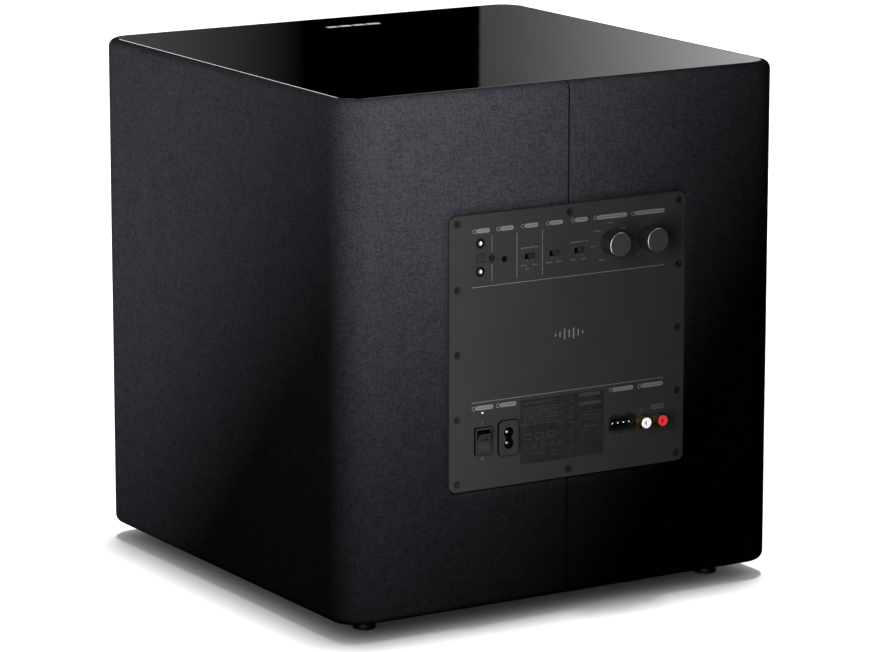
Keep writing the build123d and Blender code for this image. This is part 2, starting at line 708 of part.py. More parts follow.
magnet_front = BASKET_DEPTH + POLE_PLATE_T
magnet_back = magnet_front + MAGNET_T
with BuildPart() as magnet_ring:
    turned(
        [
            (MAGNET_BORE_R, magnet_front),
            (MAGNET_R, magnet_front),
            (MAGNET_R, magnet_back),
            (MAGNET_BORE_R, magnet_back),
        ]
    )
    chamfer(rings_wider_than(magnet_ring.edges(), MAGNET_BORE_R + FIT), MAGNET_CHAMFER)
save(magnet_ring.part, "magnet_ring")

pole_r = COIL_R - FORMER_T - GAP_CLEARANCE
with BuildPart() as pole_yoke:
    turned(
        [
            (POLE_VENT_R, BASKET_DEPTH - POLE_PROUD),
            (pole_r, BASKET_DEPTH - POLE_PROUD),
            (pole_r, magnet_back),
            (POLE_PLATE_R, magnet_back),
            (POLE_PLATE_R, magnet_back + YOKE_T),
            (POLE_VENT_R, magnet_back + YOKE_T),
        ]
    )
save(pole_yoke.part, "pole_yoke")

# two solder tags on a small block on the lowest spoke
terminal_y = BAFFLE_Y + BASKET_DEPTH - TERMINAL_RISE
terminal_z = MIDDLE_Z - BASKET_BASE_R - BASKET_WALL - TERMINAL_BLOCK[2] / 2
with BuildPart() as driver_terminals:
    block(
        -TERMINAL_BLOCK[0] / 2,
        TERMINAL_BLOCK[0] / 2,
        terminal_y - TERMINAL_BLOCK[1] / 2,
        terminal_y + TERMINAL_BLOCK[1] / 2,
        terminal_z - TERMINAL_BLOCK[2] / 2,
        MIDDLE_Z - BASKET_BASE_R,
    )
    with BuildSketch(facing(BAFFLE_Y + BASKET_DEPTH)):
        Circle(BASKET_BASE_R + BASKET_WALL)
    extrude(amount=BASKET_DEPTH, mode=Mode.SUBTRACT)
save(driver_terminals.part, "driver_terminals")

# ================================================================ amplifier plate
gasket_side = PLATE_SIDE - 2 * GASKET_INSET
with BuildPart() as amp_gasket:
    with BuildSketch(facing(PLATE_BACK_Y)):
        RectangleRounded(gasket_side, gasket_side, PLATE_CORNER_R - GASKET_INSET)
        RectangleRounded(OPENING_SIDE, OPENING_SIDE, PLATE_CORNER_R, mode=Mode.SUBTRACT)
        with Locations(*screw_places()):
            Circle(SCREW_R + FIT, mode=Mode.SUBTRACT)
    extrude(amount=GASKET_T)
save(amp_gasket.part, "amp_gasket")

rocker_cut = (ROCKER_BEZEL[0] - 2 * BEZEL_LAP, ROCKER_BEZEL[1] - 2 * BEZEL_LAP)
with BuildPart() as amp_plate:
    square_slab(PLATE_FACE_Y, PLATE_SIDE, PLATE_T, PLATE_CORNER_R)
    chamfer(amp_plate.edges().group_by(Axis.Y)[-1], PLATE_BEVEL)
    with BuildSketch(facing(PLATE_FACE_Y)):
        with Locations(CROSSOVER_AT, VOLUME_AT):
            Circle(SHAFT_R + SHAFT_HOLE_CLEARANCE)
        with Locations(*SWITCHES_AT.values()):
            Rectangle(*SWITCH_SLOT)
        with Locations(TRIGGER_AT):
            Circle(TRIGGER_BUSH_R)
        with Locations(*INSERTS_AT):
            Circle(INSERT_R)
        with Locations(LED_AT):
            Circle(LED_R)
        with Locations(ROCKER_AT):
            Rectangle(*rocker_cut)
        with Locations(INLET_AT):
            Rectangle(*INLET_BODY)
        with Locations(HEADER_AT):
            Rectangle(*HEADER_SIZE)
        with Locations(*JACKS_AT.values()):
            Circle(JACK_R)
        with Locations(*screw_places(), MODULE_SCREW_AT):
            Circle(SCREW_R + FIT)
    extrude(amount=PLATE_T, mode=Mode.SUBTRACT)
    with BuildSketch(facing(PLATE_FACE_Y)):
        with Locations(*screw_places(), MODULE_SCREW_AT):
            Circle(SCREW_HEAD_R + FIT)
    extrude(amount=SCREW_HEAD_T + SCREW_SINK, mode=Mode.SUBTRACT)
save(amp_plate.part, "amp_plate")

with BuildPart() as amp_screws:
    head_y = PLATE_FACE_Y - SCREW_SINK
    with BuildSketch(facing(head_y)):
        with Locations(*screw_places(), MODULE_SCREW_AT):
            Circle(SCREW_HEAD_R)
    extrude(amount=SCREW_HEAD_T)
    with BuildSketch(facing(head_y)):
        with Locations(*screw_places()):
            Circle(SCREW_R)
    extrude(amount=SCREW_L)
    with BuildSketch(facing(head_y)):
        with Locations(MODULE_SCREW_AT):
            Circle(SCREW_R)
    extrude(amount=SCREW_L / 2)
    with BuildSketch(facing(head_y)):
        with Locations(*screw_places(), MODULE_SCREW_AT):
            RegularPolygon(HEX_R, 6)
    extrude(amount=HEX_DEPTH, mode=Mode.SUBTRACT)
save(amp_screws.part, "amp_screws")

with BuildPart() as amp_cover:
    square_slab(PLATE_BACK_Y, COVER_SIDE, COVER_DEPTH, PLATE_CORNER_R)
    inner_side = COVER_SIDE - 2 * COVER_WALL
    with BuildSketch(facing(PLATE_BACK_Y)):
        RectangleRounded(inner_side, inner_side, PLATE_CORNER_R - COVER_WALL)
    extrude(amount=COVER_DEPTH - COVER_WALL, mode=Mode.SUBTRACT)
    with BuildSketch(facing(PLATE_BACK_Y - COVER_DEPTH + COVER_WALL)):
        with Locations((WIRE_RUN_X, WIRE_RUN_Z)):
            with GridLocations(WIRE_PITCH, 0, 2, 1):
                Circle(WIRE_R + FIT)
    extrude(amount=COVER_WALL, mode=Mode.SUBTRACT)
save(amp_cover.part, "amp_cover")


def knob(at):
    """Hollow knob with a hub on the shaft and a pointer line on its face."""
    with BuildPart() as piece:
        with BuildSketch(facing(KNOB_FACE_Y)):
            with Locations(at):
                Circle(KNOB_R)
        extrude(amount=KNOB_L)
        rims = piece.edges().group_by(Axis.Y)
        chamfer(rims[-1], KNOB_CHAMFER)
        with BuildSketch(facing(KNOB_FACE_Y - KNOB_FACE_T)):
            with Locations(at):
                Circle(KNOB_SKIRT_R)
                Circle(KNOB_HUB_R, mode=Mode.SUBTRACT)
        extrude(amount=KNOB_L - KNOB_FACE_T, mode=Mode.SUBTRACT)
        with BuildSketch(facing(KNOB_FACE_Y - KNOB_FACE_T)):
            with Locations(at):
                Circle(SHAFT_R)
        extrude(amount=KNOB_L - KNOB_FACE_T, mode=Mode.SUBTRACT)
        with BuildSketch(facing(KNOB_FACE_Y)):
            with Locations((at[0], at[1] + KNOB_R - POINTER_INSET - POINTER[1] / 2)):
                Rectangle(*POINTER)
        extrude(amount=POINTER_DEPTH, mode=Mode.SUBTRACT)
    return piece.part


def pot_shaft(at):
    """Turning shaft from the middle of the potentiometer to under the knob's face."""
    with BuildPart() as piece:
        with BuildSketch(facing(KNOB_FACE_Y - KNOB_FACE_T)):
            with Locations(at):
                Circle(SHAFT_R)
        extrude(amount=KNOB_FACE_Y - KNOB_FACE_T - PLATE_BACK_Y + SHAFT_TAIL)
    return piece.part


for control, at in (("crossover", CROSSOVER_AT), ("volume", VOLUME_AT)):
    save(knob(at), f"{control}_knob")
    save(pot_shaft(at), f"{control}_shaft")

with BuildPart() as potentiometers:
    with BuildSketch(facing(PLATE_BACK_Y)):
        with Locations(CROSSOVER_AT, VOLUME_AT):
            RectangleRounded(POT_SIDE, POT_SIDE, POT_CORNER_R)
    extrude(amount=BEHIND_PLATE)
    with BuildSketch(facing(PLATE_BACK_Y)):
        with Locations(CROSSOVER_AT, VOLUME_AT):
            Circle(SHAFT_R + SHAFT_CLEARANCE)
    extrude(amount=SHAFT_TAIL + SHAFT_END_GAP, mode=Mode.SUBTRACT)
save(potentiometers.part, "potentiometers")

with BuildPart() as slide_switch_bodies:
    with BuildSketch(facing(PLATE_BACK_Y)):
        with Locations(*SWITCHES_AT.values()):
            Rectangle(*SWITCH_BODY)
    extrude(amount=BEHIND_PLATE)
    with BuildSketch(facing(PLATE_BACK_Y)):
        with Locations(*SWITCHES_AT.values()):
            Rectangle(*SWITCH_SLOT)
    extrude(amount=SWITCH_WELL, mode=Mode.SUBTRACT)
save(slide_switch_bodies.part, "slide_switch_bodies")


def switch_tab(at):
    """Finger tab of a slide switch, at the -X end of its travel."""
    with BuildPart() as piece:
        tab_x = at[0] - SWITCH_TRAVEL / 2
        with BuildSketch(facing(PLATE_FACE_Y + SWITCH_TAB_PROUD)):
            with Locations((tab_x, at[1])):
                Rectangle(*SWITCH_TAB)
        extrude(amount=SWITCH_TAB_PROUD + PLATE_T + SWITCH_WELL - SWITCH_SLEEVE)
        with BuildSketch(facing(PLATE_FACE_Y + SWITCH_TAB_PROUD)):
            with Locations((tab_x, at[1])):
                with GridLocations(SWITCH_TAB[0] / SWITCH_GROOVES, 0, SWITCH_GROOVES, 1):
                    Rectangle(SWITCH_GROOVE[0], SWITCH_TAB[1])
        extrude(amount=SWITCH_GROOVE[1], mode=Mode.SUBTRACT)
    return piece.part


for switch, at in SWITCHES_AT.items():
    save(switch_tab(at), f"{switch}_switch_tab")

with BuildPart() as control_circuit_board:
    with BuildSketch(facing(CONTROL_BOARD_Y, MIDDLE_Z + CONTROL_BOARD_Z)):
        Rectangle(*CONTROL_BOARD)
    extrude(amount=BOARD_T)
save(control_circuit_board.part, "control_circuit_board")

# ---------------------------------------------------------------- rocker switch
rocker_x = ROCKER_AT[0]
rocker_z = MIDDLE_Z + ROCKER_AT[1]
pivot_y = PLATE_FACE_Y - ROCKER_PIVOT_DEPTH
pivot = Location((rocker_x, pivot_y, rocker_z), (0, 90, 0))
with BuildPart() as rocker_housing:
    with BuildSketch(facing(PLATE_FACE_Y + ROCKER_BEZEL_T)):
        with Locations(ROCKER_AT):
            RectangleRounded(*ROCKER_BEZEL, BEZEL_CORNER_R)
    extrude(amount=ROCKER_BEZEL_T)
    chamfer(rocker_housing.edges().group_by(Axis.Y)[-1], BEZEL_CHAMFER)
    with BuildSketch(facing(PLATE_FACE_Y)):
        with Locations(ROCKER_AT):
            Rectangle(*rocker_cut)
    extrude(amount=PLATE_T)
    with BuildSketch(facing(PLATE_BACK_Y)):
        with Locations(ROCKER_AT):
            Rectangle(*ROCKER_BEZEL)
    extrude(amount=ROCKER_DEPTH)
    with BuildSketch(facing(PLATE_FACE_Y + ROCKER_BEZEL_T)):
        with Locations(ROCKER_AT):
            Rectangle(*ROCKER_OPENING)
    cavity = ROCKER_BEZEL_T + ROCKER_PIVOT_DEPTH + ROCKER_BACK + ROCKER_SWING
    extrude(amount=cavity, mode=Mode.SUBTRACT)
    with Locations(pivot):
        pivot_bore_r = ROCKER_PIVOT_R + SHAFT_CLEARANCE
        Cylinder(pivot_bore_r, ROCKER_OPENING[0] + 2 * ROCKER_PIVOT_L, mode=Mode.SUBTRACT)
save(rocker_housing.part, "rocker_housing")

# two shallow faces that meet in a valley; the lower half is pushed in at rest
tilt = radians(-ROCKER_TILT)
rocker_reach = ROCKER_OPENING[1] / 2 - ROCKER_CLEARANCE


def rocker_end(out):
    """Half-height at a distance out from the pivot that stays inside the opening at either stop."""
    return (rocker_reach - abs(out) * sin(-tilt)) / cos(tilt)


def tilted(points):
    """Points out from and up from the pivot, turned to the rocker's position at rest."""
    return [(o * cos(tilt) - u * sin(tilt), o * sin(tilt) + u * cos(tilt)) for o, u in points]


def rocker_plane(x):
    """Plane across the rocker at x, with its origin on the pivot and its axes out and up."""
    return Plane(origin=(x, pivot_y, rocker_z), x_dir=(0, 1, 0), z_dir=(1, 0, 0))


with BuildPart() as power_rocker:
    valley = ROCKER_PIVOT_DEPTH + ROCKER_BEZEL_T
    rim = valley + rocker_end(valley) * sin(-tilt)
    upper = [(-ROCKER_BACK, rocker_end(ROCKER_BACK)), (0.0, rocker_end(0.0)), (rim, rocker_end(rim))]
    lower = [(out, -up) for out, up in reversed(upper)]
    with BuildSketch(rocker_plane(rocker_x)):
        with BuildLine():
            Polyline(*tilted([*upper, (valley, 0.0), *lower]), close=True)
        make_face()
    extrude(amount=ROCKER_OPENING[0] / 2 - ROCKER_CLEARANCE, both=True)
    top_out, top_up = upper[-1]
    slope = (top_out - valley) / top_up
    rib_foot = (top_out - GRIP_RIB_L * slope, top_up - GRIP_RIB_L)
    wedge = [(top_out, top_up), (rib_foot[0] + GRIP_RIB_H, rib_foot[1]), (rib_foot[0] - GRIP_RIB_H, rib_foot[1])]
    for k in range(GRIP_RIBS):
        with BuildSketch(rocker_plane(rocker_x + GRIP_RIB_PITCH * (k - (GRIP_RIBS - 1) / 2))):
            with BuildLine():
                Polyline(*tilted(wedge), close=True)
            make_face()
        extrude(amount=GRIP_RIB_W / 2, both=True)
    with Locations(pivot):
        Cylinder(ROCKER_PIVOT_R, ROCKER_OPENING[0] + 2 * ROCKER_PIVOT_L - 2 * ROCKER_CLEARANCE)
save(power_rocker.part, "power_rocker")

# ---------------------------------------------------------------- mains inlet
inlet_lobes = [(INLET_AT[0], INLET_AT[1] + side * INLET_PITCH / 2) for side in (-1, 1)]
with BuildPart() as mains_inlet:
    with BuildSketch(facing(PLATE_FACE_Y + INLET_BEZEL_T)):
        with Locations(INLET_AT):
            RectangleRounded(*INLET_BEZEL, INLET_CORNER_R)
    extrude(amount=INLET_BEZEL_T)
    chamfer(mains_inlet.edges().group_by(Axis.Y)[-1], BEZEL_CHAMFER)
    with BuildSketch(facing(PLATE_FACE_Y)):
        with Locations(INLET_AT):
            Rectangle(*INLET_BODY)
    extrude(amount=INLET_DEPTH)
    with BuildSketch(facing(PLATE_FACE_Y + INLET_BEZEL_T)):
        with Locations(*inlet_lobes):
            Circle(INLET_LOBE_R)
        with Locations(INLET_AT):
            Rectangle(INLET_WAIST, INLET_PITCH)
    extrude(amount=INLET_CAVITY, mode=Mode.SUBTRACT)
    pin_root_y = PLATE_FACE_Y + INLET_BEZEL_T - INLET_CAVITY
    with BuildSketch(facing(pin_root_y)):
        with Locations(*inlet_lobes):
            Circle(INLET_PIN_R)
    extrude(amount=INLET_PIN_ROOT, mode=Mode.SUBTRACT)
save(mains_inlet.part, "mains_inlet")

with BuildPart() as inlet_pins:
    with BuildSketch(facing(pin_root_y + INLET_PIN_L)):
        with Locations(*inlet_lobes):
            Circle(INLET_PIN_R)
    extrude(amount=INLET_PIN_L + INLET_PIN_ROOT)
    fillet(inlet_pins.edges().group_by(Axis.Y)[-1], INLET_PIN_TIP_R)
save(inlet_pins.part, "inlet_pins")

# ---------------------------------------------------------------- terminal header
with BuildPart() as terminal_header:
    with BuildSketch(facing(PLATE_FACE_Y + HEADER_PROUD)):
        with Locations(HEADER_AT):
            Rectangle(*HEADER_SIZE)
    extrude(amount=HEADER_PROUD + HEADER_DEPTH + HEADER_FLOOR_T)
    with BuildSketch(facing(PLATE_FACE_Y + HEADER_PROUD)):
        with Locations(HEADER_AT):
            Rectangle(*HEADER_CAVITY)
    extrude(amount=HEADER_PROUD + HEADER_DEPTH, mode=Mode.SUBTRACT)
    rib_z = HEADER_AT[1] + HEADER_SIZE[1] / 2 + HEADER_RIB[1] / 2
    with BuildSketch(facing(PLATE_FACE_Y + HEADER_PROUD)):
        with Locations((HEADER_AT[0], rib_z)):
            with GridLocations(HEADER_RIB_PITCH, 0, 2, 1):
                Rectangle(*HEADER_RIB)
    extrude(amount=HEADER_PROUD)
    header_floor_y = PLATE_FACE_Y - HEADER_DEPTH
    pin_x = [HEADER_AT[0] + HEADER_PITCH * (k - (HEADER_POLES - 1) / 2) for k in range(HEADER_POLES)]
    header_pin_spots = [(x, HEADER_AT[1]) for x in pin_x]
    with BuildSketch(facing(header_floor_y)):
        with Locations(*header_pin_spots):
            Rectangle(HEADER_PIN, HEADER_PIN)
    extrude(amount=HEADER_FLOOR_T, mode=Mode.SUBTRACT)
save(terminal_header.part, "terminal_header")

with BuildPart() as header_pins:
    header_pin_y = PLATE_FACE_Y + HEADER_PROUD - HEADER_PIN_INSET
    with BuildSketch(facing(header_pin_y)):
        with Locations(*header_pin_spots):
            Rectangle(HEADER_PIN, HEADER_PIN)
    extrude(amount=header_pin_y - header_floor_y + HEADER_FLOOR_T)
save(header_pins.part, "header_pins")

# ---------------------------------------------------------------- line-level jacks
jack_face_y = PLATE_FACE_Y + JACK_PROUD
with BuildPart() as jack_barrels:
    with BuildSketch(facing(jack_face_y - JACK_LIP_T)):
        with Locations(*JACKS_AT.values()):
            Circle(JACK_R)
    extrude(amount=JACK_PROUD - JACK_LIP_T + PLATE_T + JACK_TAIL)
    with BuildSketch(facing(PLATE_FACE_Y + JACK_NUT_T)):
        with Locations(*JACKS_AT.values()):
            Circle(JACK_NUT_R)
    extrude(amount=JACK_NUT_T)
    with BuildSketch(facing(jack_face_y)):
        with Locations(*JACKS_AT.values()):
            Circle(JACK_LINING_R)
    extrude(amount=JACK_PROUD + PLATE_T + JACK_TAIL - JACK_END_T, mode=Mode.SUBTRACT)
save(jack_barrels.part, "jack_barrels")

for colour, at in JACKS_AT.items():
    with BuildPart() as jack_lining:
        with BuildSketch(facing(jack_face_y)):
            with Locations(at):
                Circle(JACK_R)
        extrude(amount=JACK_LIP_T)
        with BuildSketch(facing(jack_face_y - JACK_LIP_T)):
            with Locations(at):
                Circle(JACK_LINING_R)
        extrude(amount=JACK_PROUD - JACK_LIP_T + PLATE_T + JACK_TAIL - JACK_END_T)
        with BuildSketch(facing(jack_face_y)):
            with Locations(at):
                Circle(JACK_BORE_R)
        extrude(amount=JACK_PROUD + PLATE_T, mode=Mode.SUBTRACT)
    save(jack_lining.part, f"{colour}_jack_lining")

# ---------------------------------------------------------------- small fittings
with BuildPart() as trigger_jack:
    with BuildSketch(facing(PLATE_FACE_Y)):
        with Locations(TRIGGER_AT):
            Circle(TRIGGER_BUSH_R)
            Circle(TRIGGER_R, mode=Mode.SUBTRACT)
    extrude(amount=PLATE_T)
    with BuildSketch(facing(PLATE_BACK_Y)):
        with Locations(TRIGGER_AT):
            Rectangle(TRIGGER_BODY, TRIGGER_BODY)
            Circle(TRIGGER_R, mode=Mode.SUBTRACT)
    extrude(amount=TRIGGER_DEPTH)
save(trigger_jack.part, "trigger_jack")

with BuildPart() as expansion_inserts:
    with BuildSketch(facing(PLATE_FACE_Y)):
        with Locations(*INSERTS_AT):
            Circle(INSERT_R)
            Circle(INSERT_BORE_R, mode=Mode.SUBTRACT)
    extrude(amount=INSERT_L)
save(expansion_inserts.part, "expansion_inserts")

with BuildPart() as led_lens:
    with BuildSketch(facing(PLATE_FACE_Y + LED_PROUD)):
        with Locations(LED_AT):
            Circle(LED_R)
    extrude(amount=LED_PROUD + PLATE_T + LED_TAIL)
    fillet(led_lens.edges().group_by(Axis.Y)[-1], LED_EDGE_R)
save(led_lens.part, "led_lens")

with BuildPart() as info_label:
    with BuildSketch(facing(PLATE_FACE_Y + LABEL_T)):
        with Locations(LABEL_AT):
            RectangleRounded(*LABEL_SIZE, LABEL_CORNER_R)
    extrude(amount=LABEL_T)
save(info_label.part, "info_label")

# ---------------------------------------------------------------- electronics
with BuildPart() as board_standoffs:
    with BuildSketch(facing(PLATE_BACK_Y)):
        with Locations(*STANDOFFS_AT):
            Circle(STANDOFF_R)
    extrude(amount=STANDOFF_L)
save(board_standoffs.part, "board_standoffs")

with BuildPart() as main_circuit_board:
    with BuildSketch(facing(MAIN_BOARD_Y, MIDDLE_Z + MAIN_BOARD_Z)):
        Rectangle(*MAIN_BOARD)
    extrude(amount=BOARD_T)
save(main_circuit_board.part, "main_circuit_board")

parts_y = MAIN_BOARD_Y - BOARD_T
with BuildPart() as heat_sink:
    fin_gap = (HEAT_SINK[0] - FIN_T) / (FINS - 1)
    with BuildSketch(facing(parts_y, MIDDLE_Z + HEAT_SINK_Z)):
        Rectangle(HEAT_SINK[0], HEAT_SINK[1])
    extrude(amount=FIN_FLOOR)
    with BuildSketch(facing(parts_y, MIDDLE_Z + HEAT_SINK_Z)):
        with GridLocations(fin_gap, 0, FINS, 1):
            Rectangle(FIN_T, HEAT_SINK[1])
    extrude(amount=HEAT_SINK[2])
save(heat_sink.part, "heat_sink")

with BuildPart() as power_transformer:
    with BuildSketch(facing(parts_y)):
        with Locations(TRANSFORMER_AT):
            Circle(TRANSFORMER_R)
            Circle(TRANSFORMER_BORE_R, mode=Mode.SUBTRACT)
    extrude(amount=TRANSFORMER_L)
    fillet(rings_wider_than(power_transformer.edges(), TRANSFORMER_BORE_R + FIT), TRANSFORMER_EDGE_R)
save(power_transformer.part, "power_transformer")

with BuildPart() as reservoir_capacitors:
    with BuildSketch(facing(parts_y)):
        with Locations(*CAPACITORS_AT):
            Circle(CAPACITOR_R)
    extrude(amount=CAPACITOR_L)
    fillet(reservoir_capacitors.edges().group_by(Axis.Y)[0], CAPACITOR_EDGE_R)
save(reservoir_capacitors.part, "reservoir_capacitors")


def speaker_wire(x):
    """One insulated lead from the driver's terminal, past the magnet, to the amplifier's cover."""
    start = Vector(x, terminal_y + TERMINAL_BLOCK[1] / 2, terminal_z)
    turn_y = BAFFLE_Y + magnet_back + YOKE_T + WIRE_BEND_R
    run_x = WIRE_RUN_X + x
    run_z = MIDDLE_Z + WIRE_RUN_Z
    end_y = PLATE_BACK_Y - COVER_DEPTH + WIRE_TAIL
    route = [
        start,
        Vector(x, turn_y, start.Z),
        Vector(run_x, turn_y, run_z),
        Vector(run_x, end_y, run_z),
    ]
    with BuildPart() as lead:
        with BuildLine() as path:
            FilletPolyline(*route, radius=WIRE_BEND_R)
        with BuildSketch(Plane(origin=start, z_dir=(0, 1, 0))):
            Circle(WIRE_R)
        sweep(path=path.line)
    return lead.part


with BuildPart() as speaker_wires:
    for x in (-WIRE_PITCH / 2, WIRE_PITCH / 2):
        add(speaker_wire(x))
save(speaker_wires.part, "speaker_wires")

print(len(written), "nodes")
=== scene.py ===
import bpy
import bmesh
import json
import math
import random
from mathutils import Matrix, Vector

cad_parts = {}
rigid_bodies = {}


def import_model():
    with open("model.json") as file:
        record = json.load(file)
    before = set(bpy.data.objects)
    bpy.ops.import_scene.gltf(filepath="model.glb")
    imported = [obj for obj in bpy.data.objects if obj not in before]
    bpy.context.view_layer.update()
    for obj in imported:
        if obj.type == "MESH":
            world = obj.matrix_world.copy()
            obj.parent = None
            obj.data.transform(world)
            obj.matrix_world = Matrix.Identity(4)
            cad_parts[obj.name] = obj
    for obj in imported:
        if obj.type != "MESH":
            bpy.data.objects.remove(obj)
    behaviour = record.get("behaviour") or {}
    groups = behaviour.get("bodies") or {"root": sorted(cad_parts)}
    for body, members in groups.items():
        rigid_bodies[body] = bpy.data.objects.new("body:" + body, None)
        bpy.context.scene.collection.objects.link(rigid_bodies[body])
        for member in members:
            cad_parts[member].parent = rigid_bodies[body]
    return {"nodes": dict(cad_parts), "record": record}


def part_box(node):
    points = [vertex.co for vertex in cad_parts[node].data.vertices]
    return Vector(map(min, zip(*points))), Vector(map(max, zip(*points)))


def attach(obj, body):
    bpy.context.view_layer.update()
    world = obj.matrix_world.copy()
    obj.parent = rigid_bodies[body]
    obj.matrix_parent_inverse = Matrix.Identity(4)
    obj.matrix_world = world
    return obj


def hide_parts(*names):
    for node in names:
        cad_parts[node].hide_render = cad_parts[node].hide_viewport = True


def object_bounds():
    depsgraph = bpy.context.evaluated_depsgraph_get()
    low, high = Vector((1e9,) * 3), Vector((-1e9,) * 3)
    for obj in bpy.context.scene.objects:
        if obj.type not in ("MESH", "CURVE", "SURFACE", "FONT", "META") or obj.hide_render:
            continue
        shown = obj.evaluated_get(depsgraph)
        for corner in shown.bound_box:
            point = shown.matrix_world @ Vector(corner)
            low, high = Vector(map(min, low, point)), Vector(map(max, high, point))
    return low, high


# Powered subwoofer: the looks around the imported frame. Metres, +Z up, +Y is the amplifier side.
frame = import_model()
CAD_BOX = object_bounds()
NODES = frame["nodes"]
MM = 0.001

# ---------------------------------------------------------------- places read from the frame
PLATE_LOW, PLATE_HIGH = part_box("amp_plate")
PLATE_MIDDLE = (PLATE_LOW + PLATE_HIGH) / 2
PLATE_FACE = PLATE_HIGH.y
PLATE_SIDE = PLATE_HIGH.x - PLATE_LOW.x
CLOTH_LOW, CLOTH_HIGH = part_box("fabric_wrap")
CABINET_MIDDLE = (CLOTH_LOW + CLOTH_HIGH) / 2
TOP_LOW, TOP_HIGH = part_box("top_plate")


# ================================================================ materials
def add_node(tree, kind, inputs=None, **settings):
    """Adds one node to a tree and fills or links its inputs."""
    node = tree.nodes.new(kind)
    for key, value in settings.items():
        setattr(node, key, value)
    for key, value in (inputs or {}).items():
        if isinstance(value, bpy.types.NodeSocket):
            tree.links.new(value, node.inputs[key])
        else:
            node.inputs[key].default_value = value
    return node


class Surface:
    """One procedural material: a Principled shader and the nodes that feed it."""

    def __init__(self, name, colour, roughness):
        self.material = bpy.data.materials.new(name)
        self.material.use_nodes = True
        self.tree = self.material.node_tree
        self.shader = self.tree.nodes["Principled BSDF"]
        self.place = self.add("ShaderNodeTexCoord").outputs["Object"]
        self.colour = (*colour, 1.0)
        self.put("Base Color", self.colour)
        self.put("Roughness", roughness)

    def put(self, socket, value):
        """Fills or links one input of the shader."""
        if isinstance(value, bpy.types.NodeSocket):
            self.tree.links.new(value, self.shader.inputs[socket])
        else:
            self.shader.inputs[socket].default_value = value

    def add(self, kind, inputs=None, **settings):
        """Adds a node to this material."""
        return add_node(self.tree, kind, inputs, **settings)

    def math(self, operation, first, second=0.0):
        return self.add("ShaderNodeMath", {0: first, 1: second}, operation=operation).outputs[0]

    def vector_math(self, operation, first, second=(0.0, 0.0, 0.0)):
        return self.add("ShaderNodeVectorMath", {0: first, 1: second}, operation=operation)

    def stretched(self, stretch):
        """The piece's own coordinates, drawn out along an axis."""
        return self.add("ShaderNodeMapping", {"Vector": self.place, "Scale": stretch}).outputs[0]

    def noise(self, size, detail=3.0, stretch=None):
        """Noise whose features are about size metres across, from 0 to 1."""
        place = self.stretched(stretch) if stretch else self.place
        inputs = {"Vector": place, "Scale": 1.0 / size, "Detail": detail}
        return self.add("ShaderNodeTexNoise", inputs).outputs["Fac"]

    def between(self, value, low, high, out_low=0.0, out_high=1.0):
        """value moved from the range low..high to out_low..out_high, clamped."""
        inputs = {"Value": value, 1: low, 2: high, 3: out_low, 4: out_high}
        return self.add("ShaderNodeMapRange", inputs).outputs[0]

    def mix(self, factor, first, second):
        """Colour between two colours."""
        inputs = {0: factor, 6: first, 7: second}
        return self.add("ShaderNodeMix", inputs, data_type="RGBA").outputs[2]

    def tone(self, factor, darkest, lightest):
        """The base colour times a factor between two values."""
        low = tuple(c * darkest for c in self.colour[:3]) + (1.0,)
        high = tuple(c * lightest for c in self.colour[:3]) + (1.0,)
        self.put("Base Color", self.mix(factor, low, high))

    def rough(self, factor, lowest, highest):
        self.put("Roughness", self.between(factor, 0.3, 0.7, lowest, highest))

    def bump(self, height, depth, strength=1.0):
        """Relief whose full height is depth metres."""
        inputs = {"Height": height, "Distance": depth, "Strength": strength}
        self.put("Normal", self.add("ShaderNodeBump", inputs).outputs[0])


def grey(level):
    """Neutral colour of one level."""
    return (level, level, level)


PLATE_GREY = (0.030, 0.030, 0.0295)
FINE_GRAIN = 0.02 * MM  # relief of paint and of satin mouldings
COARSE_GRAIN = 0.03 * MM  # relief of plain mouldings, metal and the driver's surround


def moulded(name, colour, roughness, grain=0.0006):
    """Moulded plastic with a fine spark-eroded grain and slight colour drift."""
    s = Surface(name, colour, roughness)
    s.tone(s.noise(0.02), 0.85, 1.15)
    s.rough(s.noise(0.008), roughness - 0.06, roughness + 0.08)
    s.bump(s.noise(grain, 2.0), COARSE_GRAIN)
    return s.material


def machined(name, colour, roughness):
    """Metal with fine tool marks drawn out along one axis."""
    s = Surface(name, colour, roughness)
    s.put("Metallic", 1.0)
    marks = s.noise(0.01, 4.0, (1.0, 40.0, 1.0))
    s.tone(marks, 0.8, 1.1)
    s.rough(marks, roughness - 0.08, roughness + 0.12)
    s.bump(marks, COARSE_GRAIN)
    return s.material


def speckled(name, colour, roughness, size, darkest, lightest, depth=0.1 * MM):
    """Granular matter, such as ferrite, foam, board or rubber."""
    s = Surface(name, colour, roughness)
    grains = s.noise(size, 4.0)
    s.tone(s.between(grains, 0.3, 0.7), darkest, lightest)
    s.rough(grains, roughness - 0.05, roughness + 0.08)
    s.bump(grains, depth)
    return s.material


def banded(name, colour, second, period, axis, roughness):
    """Bands across one axis, such as wound wire, tape or a printed sleeve."""
    s = Surface(name, colour, roughness)
    inputs = {"Vector": s.place, "Scale": math.tau / (20.0 * period), "Distortion": 0.2}
    bands = s.add("ShaderNodeTexWave", inputs, bands_direction=axis).outputs["Fac"]
    s.put("Base Color", s.mix(s.between(bands, 0.1, 0.6), (*second, 1.0), s.colour))
    s.bump(bands, period * 0.12)
    return s.material


THREAD = 1.1 * MM  # pitch of the cabinet cloth's threads
SEAM_SHADE = (0.35 * MM, 0.8 * MM)  # distances from the seam between which its shade lifts
SEAM_SHADE_TONE, FULL_TONE = 0.04, 0.62


